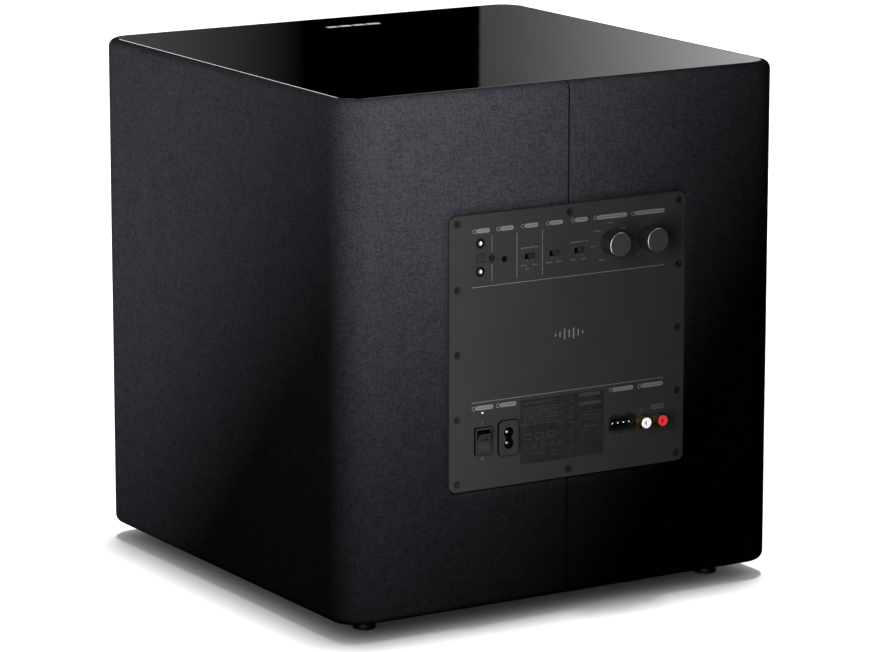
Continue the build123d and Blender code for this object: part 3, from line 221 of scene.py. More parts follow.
def woven_charcoal():
    """The cabinet's cloth: a plain weave of slubby charcoal thread.

    It follows the sheet's own map, which is in metres.
    """
    s = Surface("charcoal_weave", (0.0372, 0.0386, 0.0452), 0.95)
    s.put("Specular IOR Level", 0.0)
    s.put("Sheen Weight", 0.02)
    s.put("Sheen Roughness", 0.4)
    s.put("Sheen Tint", (0.75, 0.78, 0.86, 1.0))
    s.place = s.add("ShaderNodeUVMap", uv_map="cloth").outputs[0]
    across = s.add("ShaderNodeSeparateXYZ", {0: s.place})

    def ridge(coordinate):
        """Round back of each thread, from 0 between threads to 1 on top."""
        turns = s.math("MULTIPLY", coordinate, math.pi / THREAD)
        return s.math("ABSOLUTE", s.math("SINE", turns))

    def yarn(threads_u, threads_v):
        """Random shade of each stretch of yarn, so many threads long and wide."""
        size = (threads_u * THREAD, threads_v * THREAD, 1.0)
        cell = s.vector_math("SNAP", s.place, size).outputs[0]
        return s.add("ShaderNodeTexWhiteNoise", {"Vector": cell}, noise_dimensions="2D").outputs["Value"]

    over = s.add("ShaderNodeTexChecker", {"Vector": s.place, "Scale": 1.0 / THREAD}).outputs["Fac"]
    ridges = (ridge(across.outputs[0]), ridge(across.outputs[1]))
    threads = s.add("ShaderNodeMix", {0: over, 2: ridges[0], 3: ridges[1]}, data_type="FLOAT").outputs[0]
    shade = s.math("MULTIPLY", threads, 0.25)
    shades = ((yarn(1, 1), 0.5), (yarn(5, 1), 0.16), (yarn(1, 5), 0.16), (s.noise(0.04, 2.0), 0.18))
    for yarns, weight in shades:
        shade = s.math("ADD", shade, s.math("MULTIPLY", yarns, weight))
    # painted shade: the cloth darkens inside the rear seam's groove, which is where the map starts and ends
    off_seam = s.math("PINGPONG", across.outputs[0], cloth_stations()[-1][2] / 2)
    painted_seam_shade = s.between(off_seam, *SEAM_SHADE, SEAM_SHADE_TONE, FULL_TONE)
    # the factor has to stay under 1, so 1.61 undoes the full tone's 0.62
    s.tone(s.math("MULTIPLY", s.between(shade, 0.2, 1.1, 0.58, 1.42), painted_seam_shade), 0.0, 1.61)
    s.bump(threads, 0.15 * MM, 0.6)
    return s.material


def polished_black():
    """High-gloss top: clear black with the faintest waviness."""
    s = Surface("polished_black", (0.0012, 0.0012, 0.0014), 0.02)
    s.tone(s.noise(0.03), 0.8, 1.2)
    s.rough(s.noise(0.02), 0.015, 0.03)
    s.bump(s.noise(0.08, 1.0), 0.000002, 0.3)
    return s.material


def painted_plate():
    """Satin powder coat on the amplifier's plate, with painted shade on its bevels and edges."""
    s = Surface("satin_plate", PLATE_GREY, 0.5)
    grain = s.noise(0.0007, 2.0)
    clouds = s.math("ADD", s.noise(0.03), s.math("MULTIPLY", grain, 0.3))
    drift = s.between(clouds, 0.3, 1.0, 0.82, 1.0)
    # painted shade: faces that turn away from the rear, the bevels and edges, are darkened to 0.3 of the
    # colour
    front = s.between(facing_rear(s), 0.75, 0.95, 0.3, 1.0)
    s.tone(s.math("MULTIPLY", drift, front), 0.0, 1.1)
    s.put("Specular IOR Level", s.math("MULTIPLY", front, 0.25))
    s.rough(s.noise(0.01), 0.46, 0.56)
    s.bump(grain, FINE_GRAIN)
    return s.material


def facing_rear(s):
    """How far a piece's surface faces the rear, in the piece's own frame: 1 straight out, 0 sideways."""
    normal = s.add("ShaderNodeNewGeometry").outputs["True Normal"]
    settings = {"vector_type": "NORMAL", "convert_from": "WORLD", "convert_to": "OBJECT"}
    own = s.add("ShaderNodeVectorTransform", {0: normal}, **settings)
    return s.add("ShaderNodeSeparateXYZ", {0: own.outputs[0]}).outputs[1]


def knob_finish():
    """Dark satin knob with a slightly paler turned face and a bright cut rim."""
    s = Surface("satin_knob", grey(0.006), 0.42)
    facing = facing_rear(s)
    face = s.between(facing, 0.9, 0.98)
    rim = s.math("MULTIPLY", s.between(facing, 0.3, 0.5), s.between(facing, 0.95, 0.85))
    grain = s.noise(0.0006, 2.0)
    shade = s.mix(s.between(grain, 0.2, 0.8), (*grey(0.8), 1.0), (*grey(1.2), 1.0))
    colour = s.mix(face, s.colour, (*grey(0.046), 1.0))
    colour = s.mix(rim, colour, (*grey(0.14), 1.0))
    grained = s.add("ShaderNodeMix", {0: 1.0, 6: colour, 7: shade}, data_type="RGBA", blend_type="MULTIPLY")
    s.put("Base Color", grained.outputs[2])
    s.put("Metallic", rim)
    s.rough(s.noise(0.002), 0.34, 0.46)
    s.bump(grain, FINE_GRAIN)
    return s.material


def dark_sided(name, face, side, roughness):
    """Moulded fitting whose front catches the plate's light and whose sides are painted near black, painted
    shade for the dark gap round it.
    """
    s = Surface(name, face, roughness)
    grain = s.noise(0.0006, 2.0)
    # painted shade: faces that turn away from the rear take the near-black side colour
    front = s.between(facing_rear(s), 0.78, 0.95)
    drift = s.between(s.noise(0.006), 0.2, 0.8, 0.9, 1.1)
    colour = s.mix(front, (*side, 1.0), s.colour)
    tint = s.add("ShaderNodeVectorMath", {0: colour, "Scale": drift}, operation="SCALE")
    s.put("Base Color", tint.outputs[0])
    s.put("Specular IOR Level", s.math("MULTIPLY", front, 0.5))
    s.rough(grain, roughness - 0.06, roughness + 0.06)
    s.bump(grain, FINE_GRAIN)
    return s.material


def blind_insert():
    """Threaded insert: near-black face, painted shade for the dark of its hole, with a near-white bore, a
    painted highlight.
    """
    s = Surface("threaded_insert", (0.85, 0.85, 0.83), 0.3)
    # painted shade on the face that looks out to the rear, and a painted highlight on every other face
    front = s.between(facing_rear(s), 0.6, 0.9)
    s.put("Base Color", s.mix(front, s.colour, (*grey(0.004), 1.0)))
    inputs = {"Vector": s.place, "Scale": 600.0}
    thread = s.add("ShaderNodeTexWave", inputs, bands_direction="Y").outputs["Fac"]
    s.rough(thread, 0.25, 0.4)
    s.bump(thread, 0.0001)
    return s.material


def board_green():
    """Circuit board: solder mask over tracks."""
    s = Surface("circuit_board", (0.01, 0.09, 0.03), 0.35)
    inputs = {"Vector": s.place, "Scale": 120.0}
    tracks = s.add("ShaderNodeTexVoronoi", inputs, distance="MANHATTAN").outputs["Distance"]
    s.tone(s.between(tracks, 0.2, 0.4), 0.6, 1.5)
    s.bump(tracks, 0.00004)
    return s.material


def indicator_lens():
    """Smoked lens with a small white lamp showing at its middle."""
    s = Surface("indicator_lens", (0.006, 0.006, 0.007), 0.25)
    low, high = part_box("led_lens")
    from_middle = s.vector_math("SUBTRACT", s.place, (low + high) / 2).outputs[0]
    flat = s.vector_math("MULTIPLY", from_middle, (1.0, 0.0, 1.0)).outputs[0]
    radius = s.vector_math("LENGTH", flat).outputs["Value"]
    lamp = s.between(radius, 0.75 * MM, 0.55 * MM)
    s.put("Base Color", s.mix(lamp, s.colour, (0.9, 0.92, 0.95, 1.0)))
    s.put("Emission Color", (0.9, 0.94, 1.0, 1.0))
    s.put("Emission Strength", s.math("MULTIPLY", lamp, 0.8))
    s.rough(s.noise(0.001), 0.2, 0.35)
    return s.material


def ink(name, level):
    """Screen-printed ink: matt, a little uneven where it is thin."""
    s = Surface(name, (level, level, level * 0.98), 0.7)
    s.put("Specular IOR Level", 0.1)
    s.tone(s.noise(0.0008, 3.0), 0.75, 1.15)
    s.bump(s.noise(0.0004, 2.0), 0.00001)
    return s.material


TAPE_YELLOW, TAPE_EDGE = (0.75, 0.55, 0.10), (0.45, 0.30, 0.05)
SLEEVE_BLUE, SLEEVE_GREY = (0.02, 0.03, 0.06), (0.25, 0.26, 0.28)


def finishes():
    """One material for each of the record's material slots."""
    return {
        "mdf": speckled("sawn_board", (0.42, 0.31, 0.20), 0.8, 0.0015, 0.75, 1.2),
        "grille_plastic": moulded("grille_plastic", (0.02, 0.02, 0.022), 0.55),
        "gloss_black": polished_black(),
        "charcoal_fabric": woven_charcoal(),
        "wadding": speckled("fibre_wadding", (0.75, 0.74, 0.70), 0.95, 0.004, 0.7, 1.1, 0.001),
        "foot_rubber": speckled("foot_rubber", grey(0.012), 0.75, 0.0008, 0.7, 1.3),
        "black_plastic": moulded("black_plastic", grey(0.005), 0.42),
        "dark_steel": machined("dark_steel", grey(0.12), 0.4),
        "foam": speckled("gasket_foam", grey(0.02), 0.95, 0.001, 0.5, 1.5, 0.0002),
        "cast_black": speckled("cast_frame", grey(0.015), 0.5, 0.001, 0.8, 1.2),
        "surround_rubber": speckled("surround_rubber", grey(0.012), 0.6, 0.002, 0.85, 1.15, COARSE_GRAIN),
        "cone_paper": speckled("cone_pulp", (0.03, 0.029, 0.027), 0.8, 0.003, 0.7, 1.25),
        "bare_aluminium": machined("bare_aluminium", (0.72, 0.72, 0.74), 0.3),
        "copper_winding": banded("copper_winding", (0.72, 0.33, 0.14), (0.25, 0.08, 0.03), 0.0005, "Y", 0.3),
        "spider_cloth": banded("spider_cloth", (0.42, 0.28, 0.12), (0.28, 0.17, 0.07), 0.0008, "X", 0.85),
        "zinc_steel": machined("zinc_steel", (0.55, 0.56, 0.58), 0.35),
        "ferrite": speckled("ferrite", (0.03, 0.03, 0.032), 0.6, 0.0012, 0.7, 1.3),
        "plate_paint": painted_plate(),
        "black_screws": moulded("black_screws", grey(0.011), 0.40, 0.0008),
        "knob_plastic": knob_finish(),
        "switch_plastic": moulded("switch_plastic", grey(0.020), 0.38),
        "circuit_board": board_green(),
        # socket plastic has painted shade on the sides of its fittings
        "socket_plastic": dark_sided("socket_plastic", PLATE_GREY, grey(0.0015), 0.42),
        "nickel": machined("nickel", (0.90, 0.90, 0.88), 0.35),
        "gold": machined("gold_plate", (0.20, 0.15, 0.07), 0.38),
        "white_plastic": moulded("white_plastic", (0.80, 0.80, 0.78), 0.35),
        "red_plastic": moulded("red_plastic", (0.62, 0.03, 0.04), 0.35),
        "led_white": indicator_lens(),
        "label_film": moulded("label_film", grey(0.014), 0.5),
        "brass_metal": machined("brass", (0.80, 0.60, 0.28), 0.3),
        "black_aluminium": machined("black_aluminium", grey(0.04), 0.4),
        "transformer_tape": banded("transformer_tape", TAPE_YELLOW, TAPE_EDGE, 0.012, "Y", 0.4),
        "capacitor_sleeve": banded("capacitor_sleeve", SLEEVE_BLUE, SLEEVE_GREY, 0.03, "X", 0.35),
        "wire_jacket": banded("wire_jacket", (0.35, 0.02, 0.02), grey(0.02), 0.02, "Z", 0.45),
    }


def finish_nodes(materials):
    """Gives each CAD node the material of its slot, and the threaded inserts and header pins their own."""
    for part in frame["record"]["subparts"]:
        node = NODES[part["node"]]
        node.data.materials.clear()
        node.data.materials.append(materials[part["material_slot"]])
    NODES["expansion_inserts"].data.materials[0] = blind_insert()
    # the header pins have pale ends and sides painted near black as shade
    NODES["header_pins"].data.materials[0] = dark_sided("pin_ends", (0.9, 0.9, 0.88), grey(0.01), 0.35)


# ================================================================ mesh helpers
def new_piece(name, mesh, material):
    """Adds a mesh to the scene as a piece of the object, riding on the cabinet."""
    piece = bpy.data.objects.new(name, mesh)
    bpy.context.scene.collection.objects.link(piece)
    mesh.materials.append(material)
    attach(piece, "cabinet")
    return piece


def apply_modifiers(piece):
    """Leaves the piece with the mesh that its modifiers make."""
    graph = bpy.context.evaluated_depsgraph_get()
    mesh = bpy.data.meshes.new_from_object(piece.evaluated_get(graph))
    piece.modifiers.clear()
    piece.data = mesh


PRINT_T = 0.04 * MM  # thickness of the print on the plate and the top
LABEL_PRINT_T = 0.03 * MM
PRINT_SUNK = 0.01 * MM  # how far print goes into the face it lies on


class FlatShapes:
    """Thin closed shapes on an upright face that looks along +Y. Places are in mm from the plate's middle."""

    def __init__(self, face_y, thickness):
        self.bm = bmesh.new()
        self.low = face_y - PRINT_SUNK
        self.high = face_y + thickness

    def point(self, x, z, y):
        """Point in metres for a place in mm and a depth in metres."""
        return (PLATE_MIDDLE.x + x * MM, y, PLATE_MIDDLE.z + z * MM)

    def solid(self, outline, hole=None):
        """Prism over a closed outline of (x, z) points, or a band between it and a hole of as many points."""
        if hole is None:
            front = [self.bm.verts.new(self.point(x, z, self.high)) for x, z in outline]
            back = [self.bm.verts.new(self.point(x, z, self.low)) for x, z in outline]
            self.bm.faces.new(front)
            self.bm.faces.new(list(reversed(back)))
            self.walls(front, back)
            return
        rings = [
            [self.bm.verts.new(self.point(x, z, y)) for x, z in ring]
            for ring in (outline, hole)
            for y in (self.high, self.low)
        ]
        outer_front, outer_back, inner_front, inner_back = rings
        self.walls(outer_front, outer_back)
        self.walls(inner_back, inner_front)
        self.walls(inner_front, outer_front)
        self.walls(outer_back, inner_back)

    def walls(self, first, second):
        """Faces between two loops of as many points."""
        count = len(first)
        for k in range(count):
            after = (k + 1) % count
            self.bm.faces.new((first[k], second[k], second[after], first[after]))

    def bar(self, x0, x1, z, height, ends=4):
        """Horizontal bar with round ends."""
        self.solid(rounded_outline(x0, x1, z, height, height / 2, ends))

    def box_line(self, x0, x1, z, height, radius, width):
        """Outlined rounded rectangle."""
        outer = rounded_outline(x0, x1, z, height, radius, 4)
        inner = rounded_outline(x0 + width, x1 - width, z, height - 2 * width, radius - width, 4)
        self.solid(outer, inner)

    def ring(self, x, z, radius, width, steps=20):
        """Circle of the line width given, inside its radius."""
        angles = [2 * math.pi * k / steps for k in range(steps)]
        outer = [(x + radius * math.cos(a), z + radius * math.sin(a)) for a in angles]
        inner_r = radius - width
        inner = [(x + inner_r * math.cos(a), z + inner_r * math.sin(a)) for a in angles]
        self.solid(outer, inner)

    def upright(self, x, z0, z1, width):
        """Vertical line."""
        half = width / 2
        self.solid([(x - half, z0), (x + half, z0), (x + half, z1), (x - half, z1)])

    def dashes(self, x0, x1, z, height, draw, shortest=1.0, longest=4.0):
        """A row of short bars of uneven length that stands for a line of small print."""
        x = x0
        while x > x1 + shortest:
            length = min(draw.uniform(shortest, longest), x - x1)
            self.bar(x - length, x, z, height, 2)
            x -= length + height * 0.7

    def mesh(self, name):
        """The finished mesh; nothing can be added after it."""
        bmesh.ops.recalc_face_normals(self.bm, faces=self.bm.faces)
        mesh = bpy.data.meshes.new(name)
        self.bm.to_mesh(mesh)
        self.bm.free()
        return mesh


def rounded_outline(x0, x1, z, height, radius, steps):
    """Corner arcs of a rounded rectangle centred on height z, as (x, z) points."""
    low_x, high_x = min(x0, x1), max(x0, x1)
    radius = max(min(radius, height / 2 * 0.999, (high_x - low_x) / 2 * 0.999), 0.01)
    corners = [
        (high_x - radius, z + height / 2 - radius, 0),
        (low_x + radius, z + height / 2 - radius, 90),
        (low_x + radius, z - height / 2 + radius, 180),
        (high_x - radius, z - height / 2 + radius, 270),
    ]
    points = []
    for cx, cz, start in corners:
        for k in range(steps + 1):
            a = math.radians(start + 90 * k / steps)
            points.append((cx + radius * math.cos(a), cz + radius * math.sin(a)))
    return points


# ================================================================ the cabinet's cloth
CORNER_R = 24.0 * MM
EDGE_R = 6.5 * MM
CLOTH_T = 0.9 * MM
TURN_UNDER = 22.0 * MM  # how far in under the base the hem reaches
SEAM_HALF = 0.004 * MM  # half the gap between the two butted edges
SEAM_ROLL = 1.4 * MM  # distance from the seam at which each edge starts to roll into it
SEAM_DEPTH = 0.75 * MM
UNEVEN = 0.05 * MM  # scale of the cloth's unevenness over its boards
HOLE_HALF = PLATE_SIDE / 2 + 0.05 * MM
HOLE_R = 6.0 * MM
ON_EDGE = 0.01 * MM  # a point this near the cut's edge counts as on it
STEP = 8.0 * MM  # size of the sheet's cells
CORNER_STEPS = 10
EDGE_STEPS = 8
HEM_STEPS = 3
FAN_STEPS = 6


def spaced(start, end, step):
    """Evenly spaced values from start up to but not including end."""
    count = max(1, round(abs(end - start) / step))
    return [start + (end - start) * k / count for k in range(count)]


def cloth_stations():
    """Places round the cabinet's plan, from one edge of the rear seam to the other.

    Each is a point, its outward normal and the distance run.
    """
    half_x = (CLOTH_HIGH.x - CLOTH_LOW.x) / 2
    half_y = (CLOTH_HIGH.y - CLOTH_LOW.y) / 2
    flat_x, flat_y = half_x - CORNER_R, half_y - CORNER_R
    seam = [SEAM_HALF, 0.2 * MM, 0.4 * MM, 0.6 * MM, 0.8 * MM, 1.1 * MM, SEAM_ROLL]
    rear = seam + spaced(SEAM_ROLL, HOLE_HALF - HOLE_R, STEP)[1:]
    rear += [HOLE_HALF - HOLE_R, HOLE_HALF] + spaced(HOLE_HALF, flat_x, STEP)[1:]
    places = [((-x, half_y), (0.0, 1.0)) for x in rear]
    sides = [
        ((-flat_x, flat_y), 90, [((-half_x, y), (-1.0, 0.0)) for y in spaced(flat_y, -flat_y, STEP)[1:]]),
        ((-flat_x, -flat_y), 180, [((x, -half_y), (0.0, -1.0)) for x in spaced(-flat_x, flat_x, STEP)[1:]]),
        ((flat_x, -flat_y), 270, [((half_x, y), (1.0, 0.0)) for y in spaced(-flat_y, flat_y, STEP)[1:]]),
        ((flat_x, flat_y), 0, []),
    ]
    for (cx, cy), start, flat in sides:
        for k in range(CORNER_STEPS + 1):
            a = math.radians(start + 90 * k / CORNER_STEPS)
            n = (math.cos(a), math.sin(a))
            places.append(((cx + CORNER_R * n[0], cy + CORNER_R * n[1]), n))
        places += flat
    places += [((x, half_y), (0.0, 1.0)) for x in reversed(rear)]
    run, stations = 0.0, []
    for k, (p, n) in enumerate(places):
        if k:
            run += math.dist(p, places[k - 1][0])
        point = Vector((p[0] + CABINET_MIDDLE.x, p[1] + CABINET_MIDDLE.y, 0.0))
        stations.append((point, Vector((*n, 0.0)), run))
    return stations


def cloth_rows():
    """Places down the cloth, from the rim of the top plate to the hem under the base.

    Each is an inset, a height and the distance run.
    """
    top, base = CLOTH_HIGH.z, CLOTH_LOW.z
    low, high = PLATE_MIDDLE.z - HOLE_HALF, PLATE_MIDDLE.z + HOLE_HALF
    arc = [math.radians(90 * k / EDGE_STEPS) for k in range(EDGE_STEPS + 1)]
    rows = [(EDGE_R * (1 - math.sin(a)), top - EDGE_R * (1 - math.cos(a))) for a in arc]
    heights = spaced(top - EDGE_R, high, STEP)[1:] + [high, high - HOLE_R]
    heights += spaced(high - HOLE_R, low + HOLE_R, STEP)[1:] + [low + HOLE_R, low]
    heights += spaced(low, base + EDGE_R, STEP)[1:]
    rows += [(0.0, z) for z in heights]
    rows += [(EDGE_R * (1 - math.cos(a)), base + EDGE_R * (1 - math.sin(a))) for a in arc]
    rows += [(EDGE_R + (TURN_UNDER - EDGE_R) * k / HEM_STEPS, base) for k in range(1, HEM_STEPS + 1)]
    run, out = 0.0, []
    for k, (inset, z) in enumerate(rows):
        if k:
            run += math.dist((inset, z), rows[k - 1])
        out.append((inset, z, run))
    return out


def cloth_relief(place, run_u, run_v, rolled):
    """How far a point of the cloth lies inside its smooth surface: the seam's roll and slight unevenness."""
    off_seam = abs(place.x - CABINET_MIDDLE.x)
    dip = 0.0
    if rolled:
        dip = SEAM_DEPTH * max(0.0, 1 - (off_seam - SEAM_HALF) / (SEAM_ROLL - SEAM_HALF)) ** 2.2
    wave = math.sin(run_u * 61.0 + 1.3) * math.sin(run_v * 47.0 + 0.4)
    wave += 0.6 * math.sin(run_u * 23.0 - run_v * 31.0)
    return dip + UNEVEN * (1 + wave / 1.6)


def make_cloth(material):
    """One sheet round all four sides, butted at the rear, cut out for the plate and turned under the base."""
    stations, rows = cloth_stations(), cloth_rows()
    bm = bmesh.new()
    uv = bm.loops.layers.uv.new("cloth")
    grid = []
    place_on_sheet = {}
    rear_y = max(p.y for p, n, run in stations)
    for p, n, run_u in stations:
        rolled = n.y > 0.999 and abs(p.x - CABINET_MIDDLE.x) < SEAM_ROLL
        column = []
        for inset, z, run_v in rows:
            at = p - n * inset
            inward = n * cloth_relief(p, run_u, run_v, rolled)
            vert = bm.verts.new((at.x - inward.x, at.y - inward.y, z))
            place_on_sheet[vert] = (run_u, run_v)
            column.append(vert)
        grid.append(column)

    def face(*verts):
        """One smooth face, mapped by the lengths run along the sheet."""
        made = bm.faces.new(verts)
        for loop in made.loops:
            loop[uv].uv = place_on_sheet[loop.vert]
        made.smooth = True

    def in_hole(vert):
        """Inside the square cut for the plate, or on its edge."""
        x, z = vert.co.x - PLATE_MIDDLE.x, vert.co.z - PLATE_MIDDLE.z
        return vert.co.y > rear_y - 2 * MM and max(abs(x), abs(z)) < HOLE_HALF + ON_EDGE

    for i in range(len(grid) - 1):
        for j in range(len(rows) - 1):
            corners = (grid[i][j], grid[i][j + 1], grid[i + 1][j + 1], grid[i + 1][j])
            if not all(in_hole(v) for v in corners):
                face(*corners)

    def corner_fan(side_x, side_z):
        """Cloth left in a corner of the cut, so that the cut has round corners."""
        corner_x = PLATE_MIDDLE.x + side_x * HOLE_HALF
        corner_z = PLATE_MIDDLE.z + side_z * HOLE_HALF
        inside = [v for column in grid for v in column if in_hole(v)]
        tip = min(inside, key=lambda v: abs(v.co.x - corner_x) + abs(v.co.z - corner_z))
        i = next(k for k, column in enumerate(grid) if tip in column)
        j = grid[i].index(tip)
        side = 1 if abs(grid[i + 1][j].co.x - PLATE_MIDDLE.x) < HOLE_HALF - 1 * MM else -1
        down = 1 if side_z > 0 else -1
        along_x, along_z = grid[i + side][j], grid[i][j + down]
        centre = Vector((along_x.co.x, 0, along_z.co.z))
        arc = [along_x]
        for k in range(1, FAN_STEPS):
            a = math.radians(90 * k / FAN_STEPS)
            x = centre.x + side_x * HOLE_R * math.sin(a)
            z = centre.z + side_z * HOLE_R * math.cos(a)
            vert = bm.verts.new((x, tip.co.y, z))
            share_x, share_z = abs(x - tip.co.x) / HOLE_R, abs(z - tip.co.z) / HOLE_R
            u0, v0 = place_on_sheet[tip]
            u1, v1 = place_on_sheet[along_x][0], place_on_sheet[along_z][1]
            place_on_sheet[vert] = (u0 + (u1 - u0) * share_x, v0 + (v1 - v0) * share_z)
            arc.append(vert)
        arc.append(along_z)
        for first, second in zip(arc, arc[1:]):
            turned = (second.co - first.co).cross(tip.co - first.co).y
            face(*((first, second, tip) if turned > 0 else (second, first, tip)))

    for side_x in (-1, 1):
        for side_z in (-1, 1):
            corner_fan(side_x, side_z)
    mesh = bpy.data.meshes.new("fabric_cover")
    bmesh.ops.delete(bm, geom=[v for v in bm.verts if not v.link_faces], context="VERTS")
    bm.to_mesh(mesh)
    bm.free()
    cloth = bpy.data.objects.new("fabric_cover", mesh)
    bpy.context.scene.collection.objects.link(cloth)
    mesh.materials.append(material)
    thick = cloth.modifiers.new("thick", "SOLIDIFY")
    thick.thickness = CLOTH_T
    thick.offset = -1.0
    apply_modifiers(cloth)
    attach(cloth, "cabinet")
    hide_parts("fabric_wrap")


# ================================================================ print on the amplifier's plate
# Places and sizes here are in mm, from the plate's middle. As seen from behind, x falls from left to right.
TOP_LABELS = [
    (86.7, 71.3), (65.5, 50.3), (43.7, 28.3), (21.3, 6.2), (-1.2, -16.3), (-21.3, -52.2), (-55.8, -86.7),
]
LOW_LABELS = [(87.0, 68.0), (65.5, 47.2), (-36.7, -59.2), (-63.3, -86.7)]
TOP_LABEL_Z, LOW_LABEL_Z, LABEL_H = 93.2, -42.8, 3.4
RULES = (50.5, -38.3)
DIVIDERS = (69.5, 47.3, 24.5)
SWITCHES = (35.8, 13.8, -8.7)
CROSSOVER = (-37.0, 73.3)
CROSSOVER_MARKS = (90, 41, 141, 188, 241)
VOLUME = (-71.3, 73.3)
VOLUME_MARKS = (236, 304)
ROCKER_X = 77.5
HEADER_X, HEADER_PITCH, HEADER_WAYS = -47.15, 5.08, 4
CAPTION_X_R, CAPTION_Z_R = 15.5, 15.0  # how far a knob's captions stand from its middle
LINE = 0.5
SMALL_PRINT = 1.0


def label_pill(light, dark, x0, x1, z, draw):
    """A ring and a filled pill that carries a line of small print."""
    light.ring(x0 - LABEL_H / 2, z, LABEL_H / 2, 0.45)
    start = x0 - LABEL_H - 0.1
    light.bar(x1, start, z, LABEL_H)
    dark.dashes(start - 1.2, x1 + 1.0, z, 1.1, draw, 0.5, 1.0)


def knob_captions(dim, knob, angles, half_width, draw):
    """Short captions round a knob, at angles from the right as seen from behind."""
    for angle in angles:
        x = knob[0] - CAPTION_X_R * math.cos(math.radians(angle))
        z = knob[1] + CAPTION_Z_R * math.sin(math.radians(angle))
        dim.dashes(x + half_width, x - half_width, z, SMALL_PRINT, draw, 0.8, 1.4)


def make_plate_print():
    """Rules, pills and rows of small print: no letters, only bars, rings and boxes."""
    draw = random.Random(12)
    light = FlatShapes(PLATE_FACE, PRINT_T)
    dark = FlatShapes(PLATE_FACE, 1.5 * PRINT_T)
    dim = FlatShapes(PLATE_FACE, PRINT_T)
    for x0, x1 in TOP_LABELS:
        label_pill(light, dark, x0, x1, TOP_LABEL_Z, draw)
    for x0, x1 in LOW_LABELS:
        label_pill(light, dark, x0, x1, LOW_LABEL_Z, draw)
    for z in RULES:
        dim.bar(-86.7, 87.5, z, 0.55)
    for x in DIVIDERS:
        if x == DIVIDERS[0]:
            dim.upright(x, 76.0, 89.0, LINE)
            dim.upright(x, 54.0, 66.8, LINE)
        else:
            dim.upright(x, 54.0, 89.0, LINE)
    for x in (SWITCHES[0], SWITCHES[2]):
        dim.dashes(x + 8.0, x - 8.0, 76.3, SMALL_PRINT, draw, 0.7, 1.6)
    for x in SWITCHES:
        dim.dashes(x + 7.5, x + 1.5, 62.8, SMALL_PRINT, draw, 0.7, 1.4)
        dim.dashes(x - 2.5, x - 7.0, 62.8, SMALL_PRINT, draw, 0.7, 1.4)
        for tick in (-2.0, 2.0):
            dim.upright(x + tick, 65.4, 66.6, 0.35)
    dim.dashes(39.5, 35.5, 60.0, SMALL_PRINT, draw, 0.7, 1.4)
    knob_captions(dim, CROSSOVER, CROSSOVER_MARKS, 2.6, draw)
    knob_captions(dim, VOLUME, VOLUME_MARKS, 2.0, draw)
    dim.ring(ROCKER_X, -82.5, 1.2, 0.35)
    dim.upright(ROCKER_X, -56.2, -54.2, 0.4)
    for k in range(HEADER_WAYS):
        x = HEADER_X + HEADER_PITCH * (k - (HEADER_WAYS - 1) / 2)
        dim.dashes(x + 0.9, x - 0.9, -79.7, 0.9, draw, 0.7, 0.8)
    dim.box_line(-87.5, -76.7, -60.7, 3.4, 0.6, 0.45)
    dim.dashes(-77.9, -86.4, -60.7, SMALL_PRINT, draw, 0.7, 1.2)
    dim.dashes(-65.8, -69.4, -61.7, SMALL_PRINT, draw, 0.8, 1.2)
    centre_mark(light)
    for name, shapes, level in (("light", light, 0.19), ("dark", dark, 0.075), ("dim", dim, 0.15)):
        mesh = shapes.mesh(f"plate_print_{name}")
        piece = new_piece(f"plate_print_{name}", mesh, ink(f"{name}_ink", level))


def centre_mark(shapes):
    """Generic sound-level mark: upright bars of different heights."""
    heights = (3.0, 5.5, 8.5, 6.0, 9.0, 4.5, 2.5)
    pitch, half_width = 4.1, 0.55
    for k, height in enumerate(heights):
        x = pitch * (k - (len(heights) - 1) / 2)
        shapes.solid(rounded_outline(x - half_width, x + half_width, 6.0, height, 0.54, 3))


def make_label_print():
    """Faint rows of small print, boxes and rings on the information label."""
    draw = random.Random(5)
    shapes = FlatShapes(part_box("info_label")[1].y, LABEL_PRINT_T)
    shapes.dashes(42.0, 16.0, -44.3, 1.5, draw, 1.0, 2.4)
    for k in range(7):
        shapes.dashes(42.0, 6.0 + 3.0 * (k % 3), -48.3 - 2.1 * k, 0.8, draw, 0.8, 3.5)
    for k in range(3):
        shapes.box_line(34.0 - 11.0 * k, 41.0 - 11.0 * k, -70.4, 4.6, 1.2, 0.5)
    for k in range(5):
        shapes.ring(39.0 - 8.0 * k, -78.4, 1.9, 0.45)
    shapes.dashes(35.0, 22.0, -84.0, 0.8, draw, 0.8, 2.0)
    shapes.box_line(10.0, 15.5, -85.6, 3.4, 0.4, 0.4)
    for k, z in enumerate((-45.8, -53.6, -58.5, -69.8, -76.0, -82.5)):
        if k % 2:
            shapes.box_line(-4.4, -0.4, z, 3.0, 0.4, 0.4)
        else:
            shapes.ring(-2.3, z, 2.0, 0.45)
    shapes.bar(-4.6, -0.2, -63.5, 0.8)
    shapes.bar(-29.2, -9.0, -43.4, 3.0)
    shapes.bar(-29.2, -9.0, -50.4, 2.6)
    shapes.box_line(-29.2, -14.8, -59.8, 6.4, 0.5, 0.5)
    shapes.ring(-11.2, -59.8, 2.0, 0.45)
    shapes.dashes(-15.6, -28.2, -59.8, 1.6, draw, 1.0, 2.2)
    shapes.dashes(-14.0, -26.0, -68.4, 1.2, draw, 1.0, 2.4)
    piece = new_piece("label_print", shapes.mesh("label_print"), ink("faint_ink", 0.045))


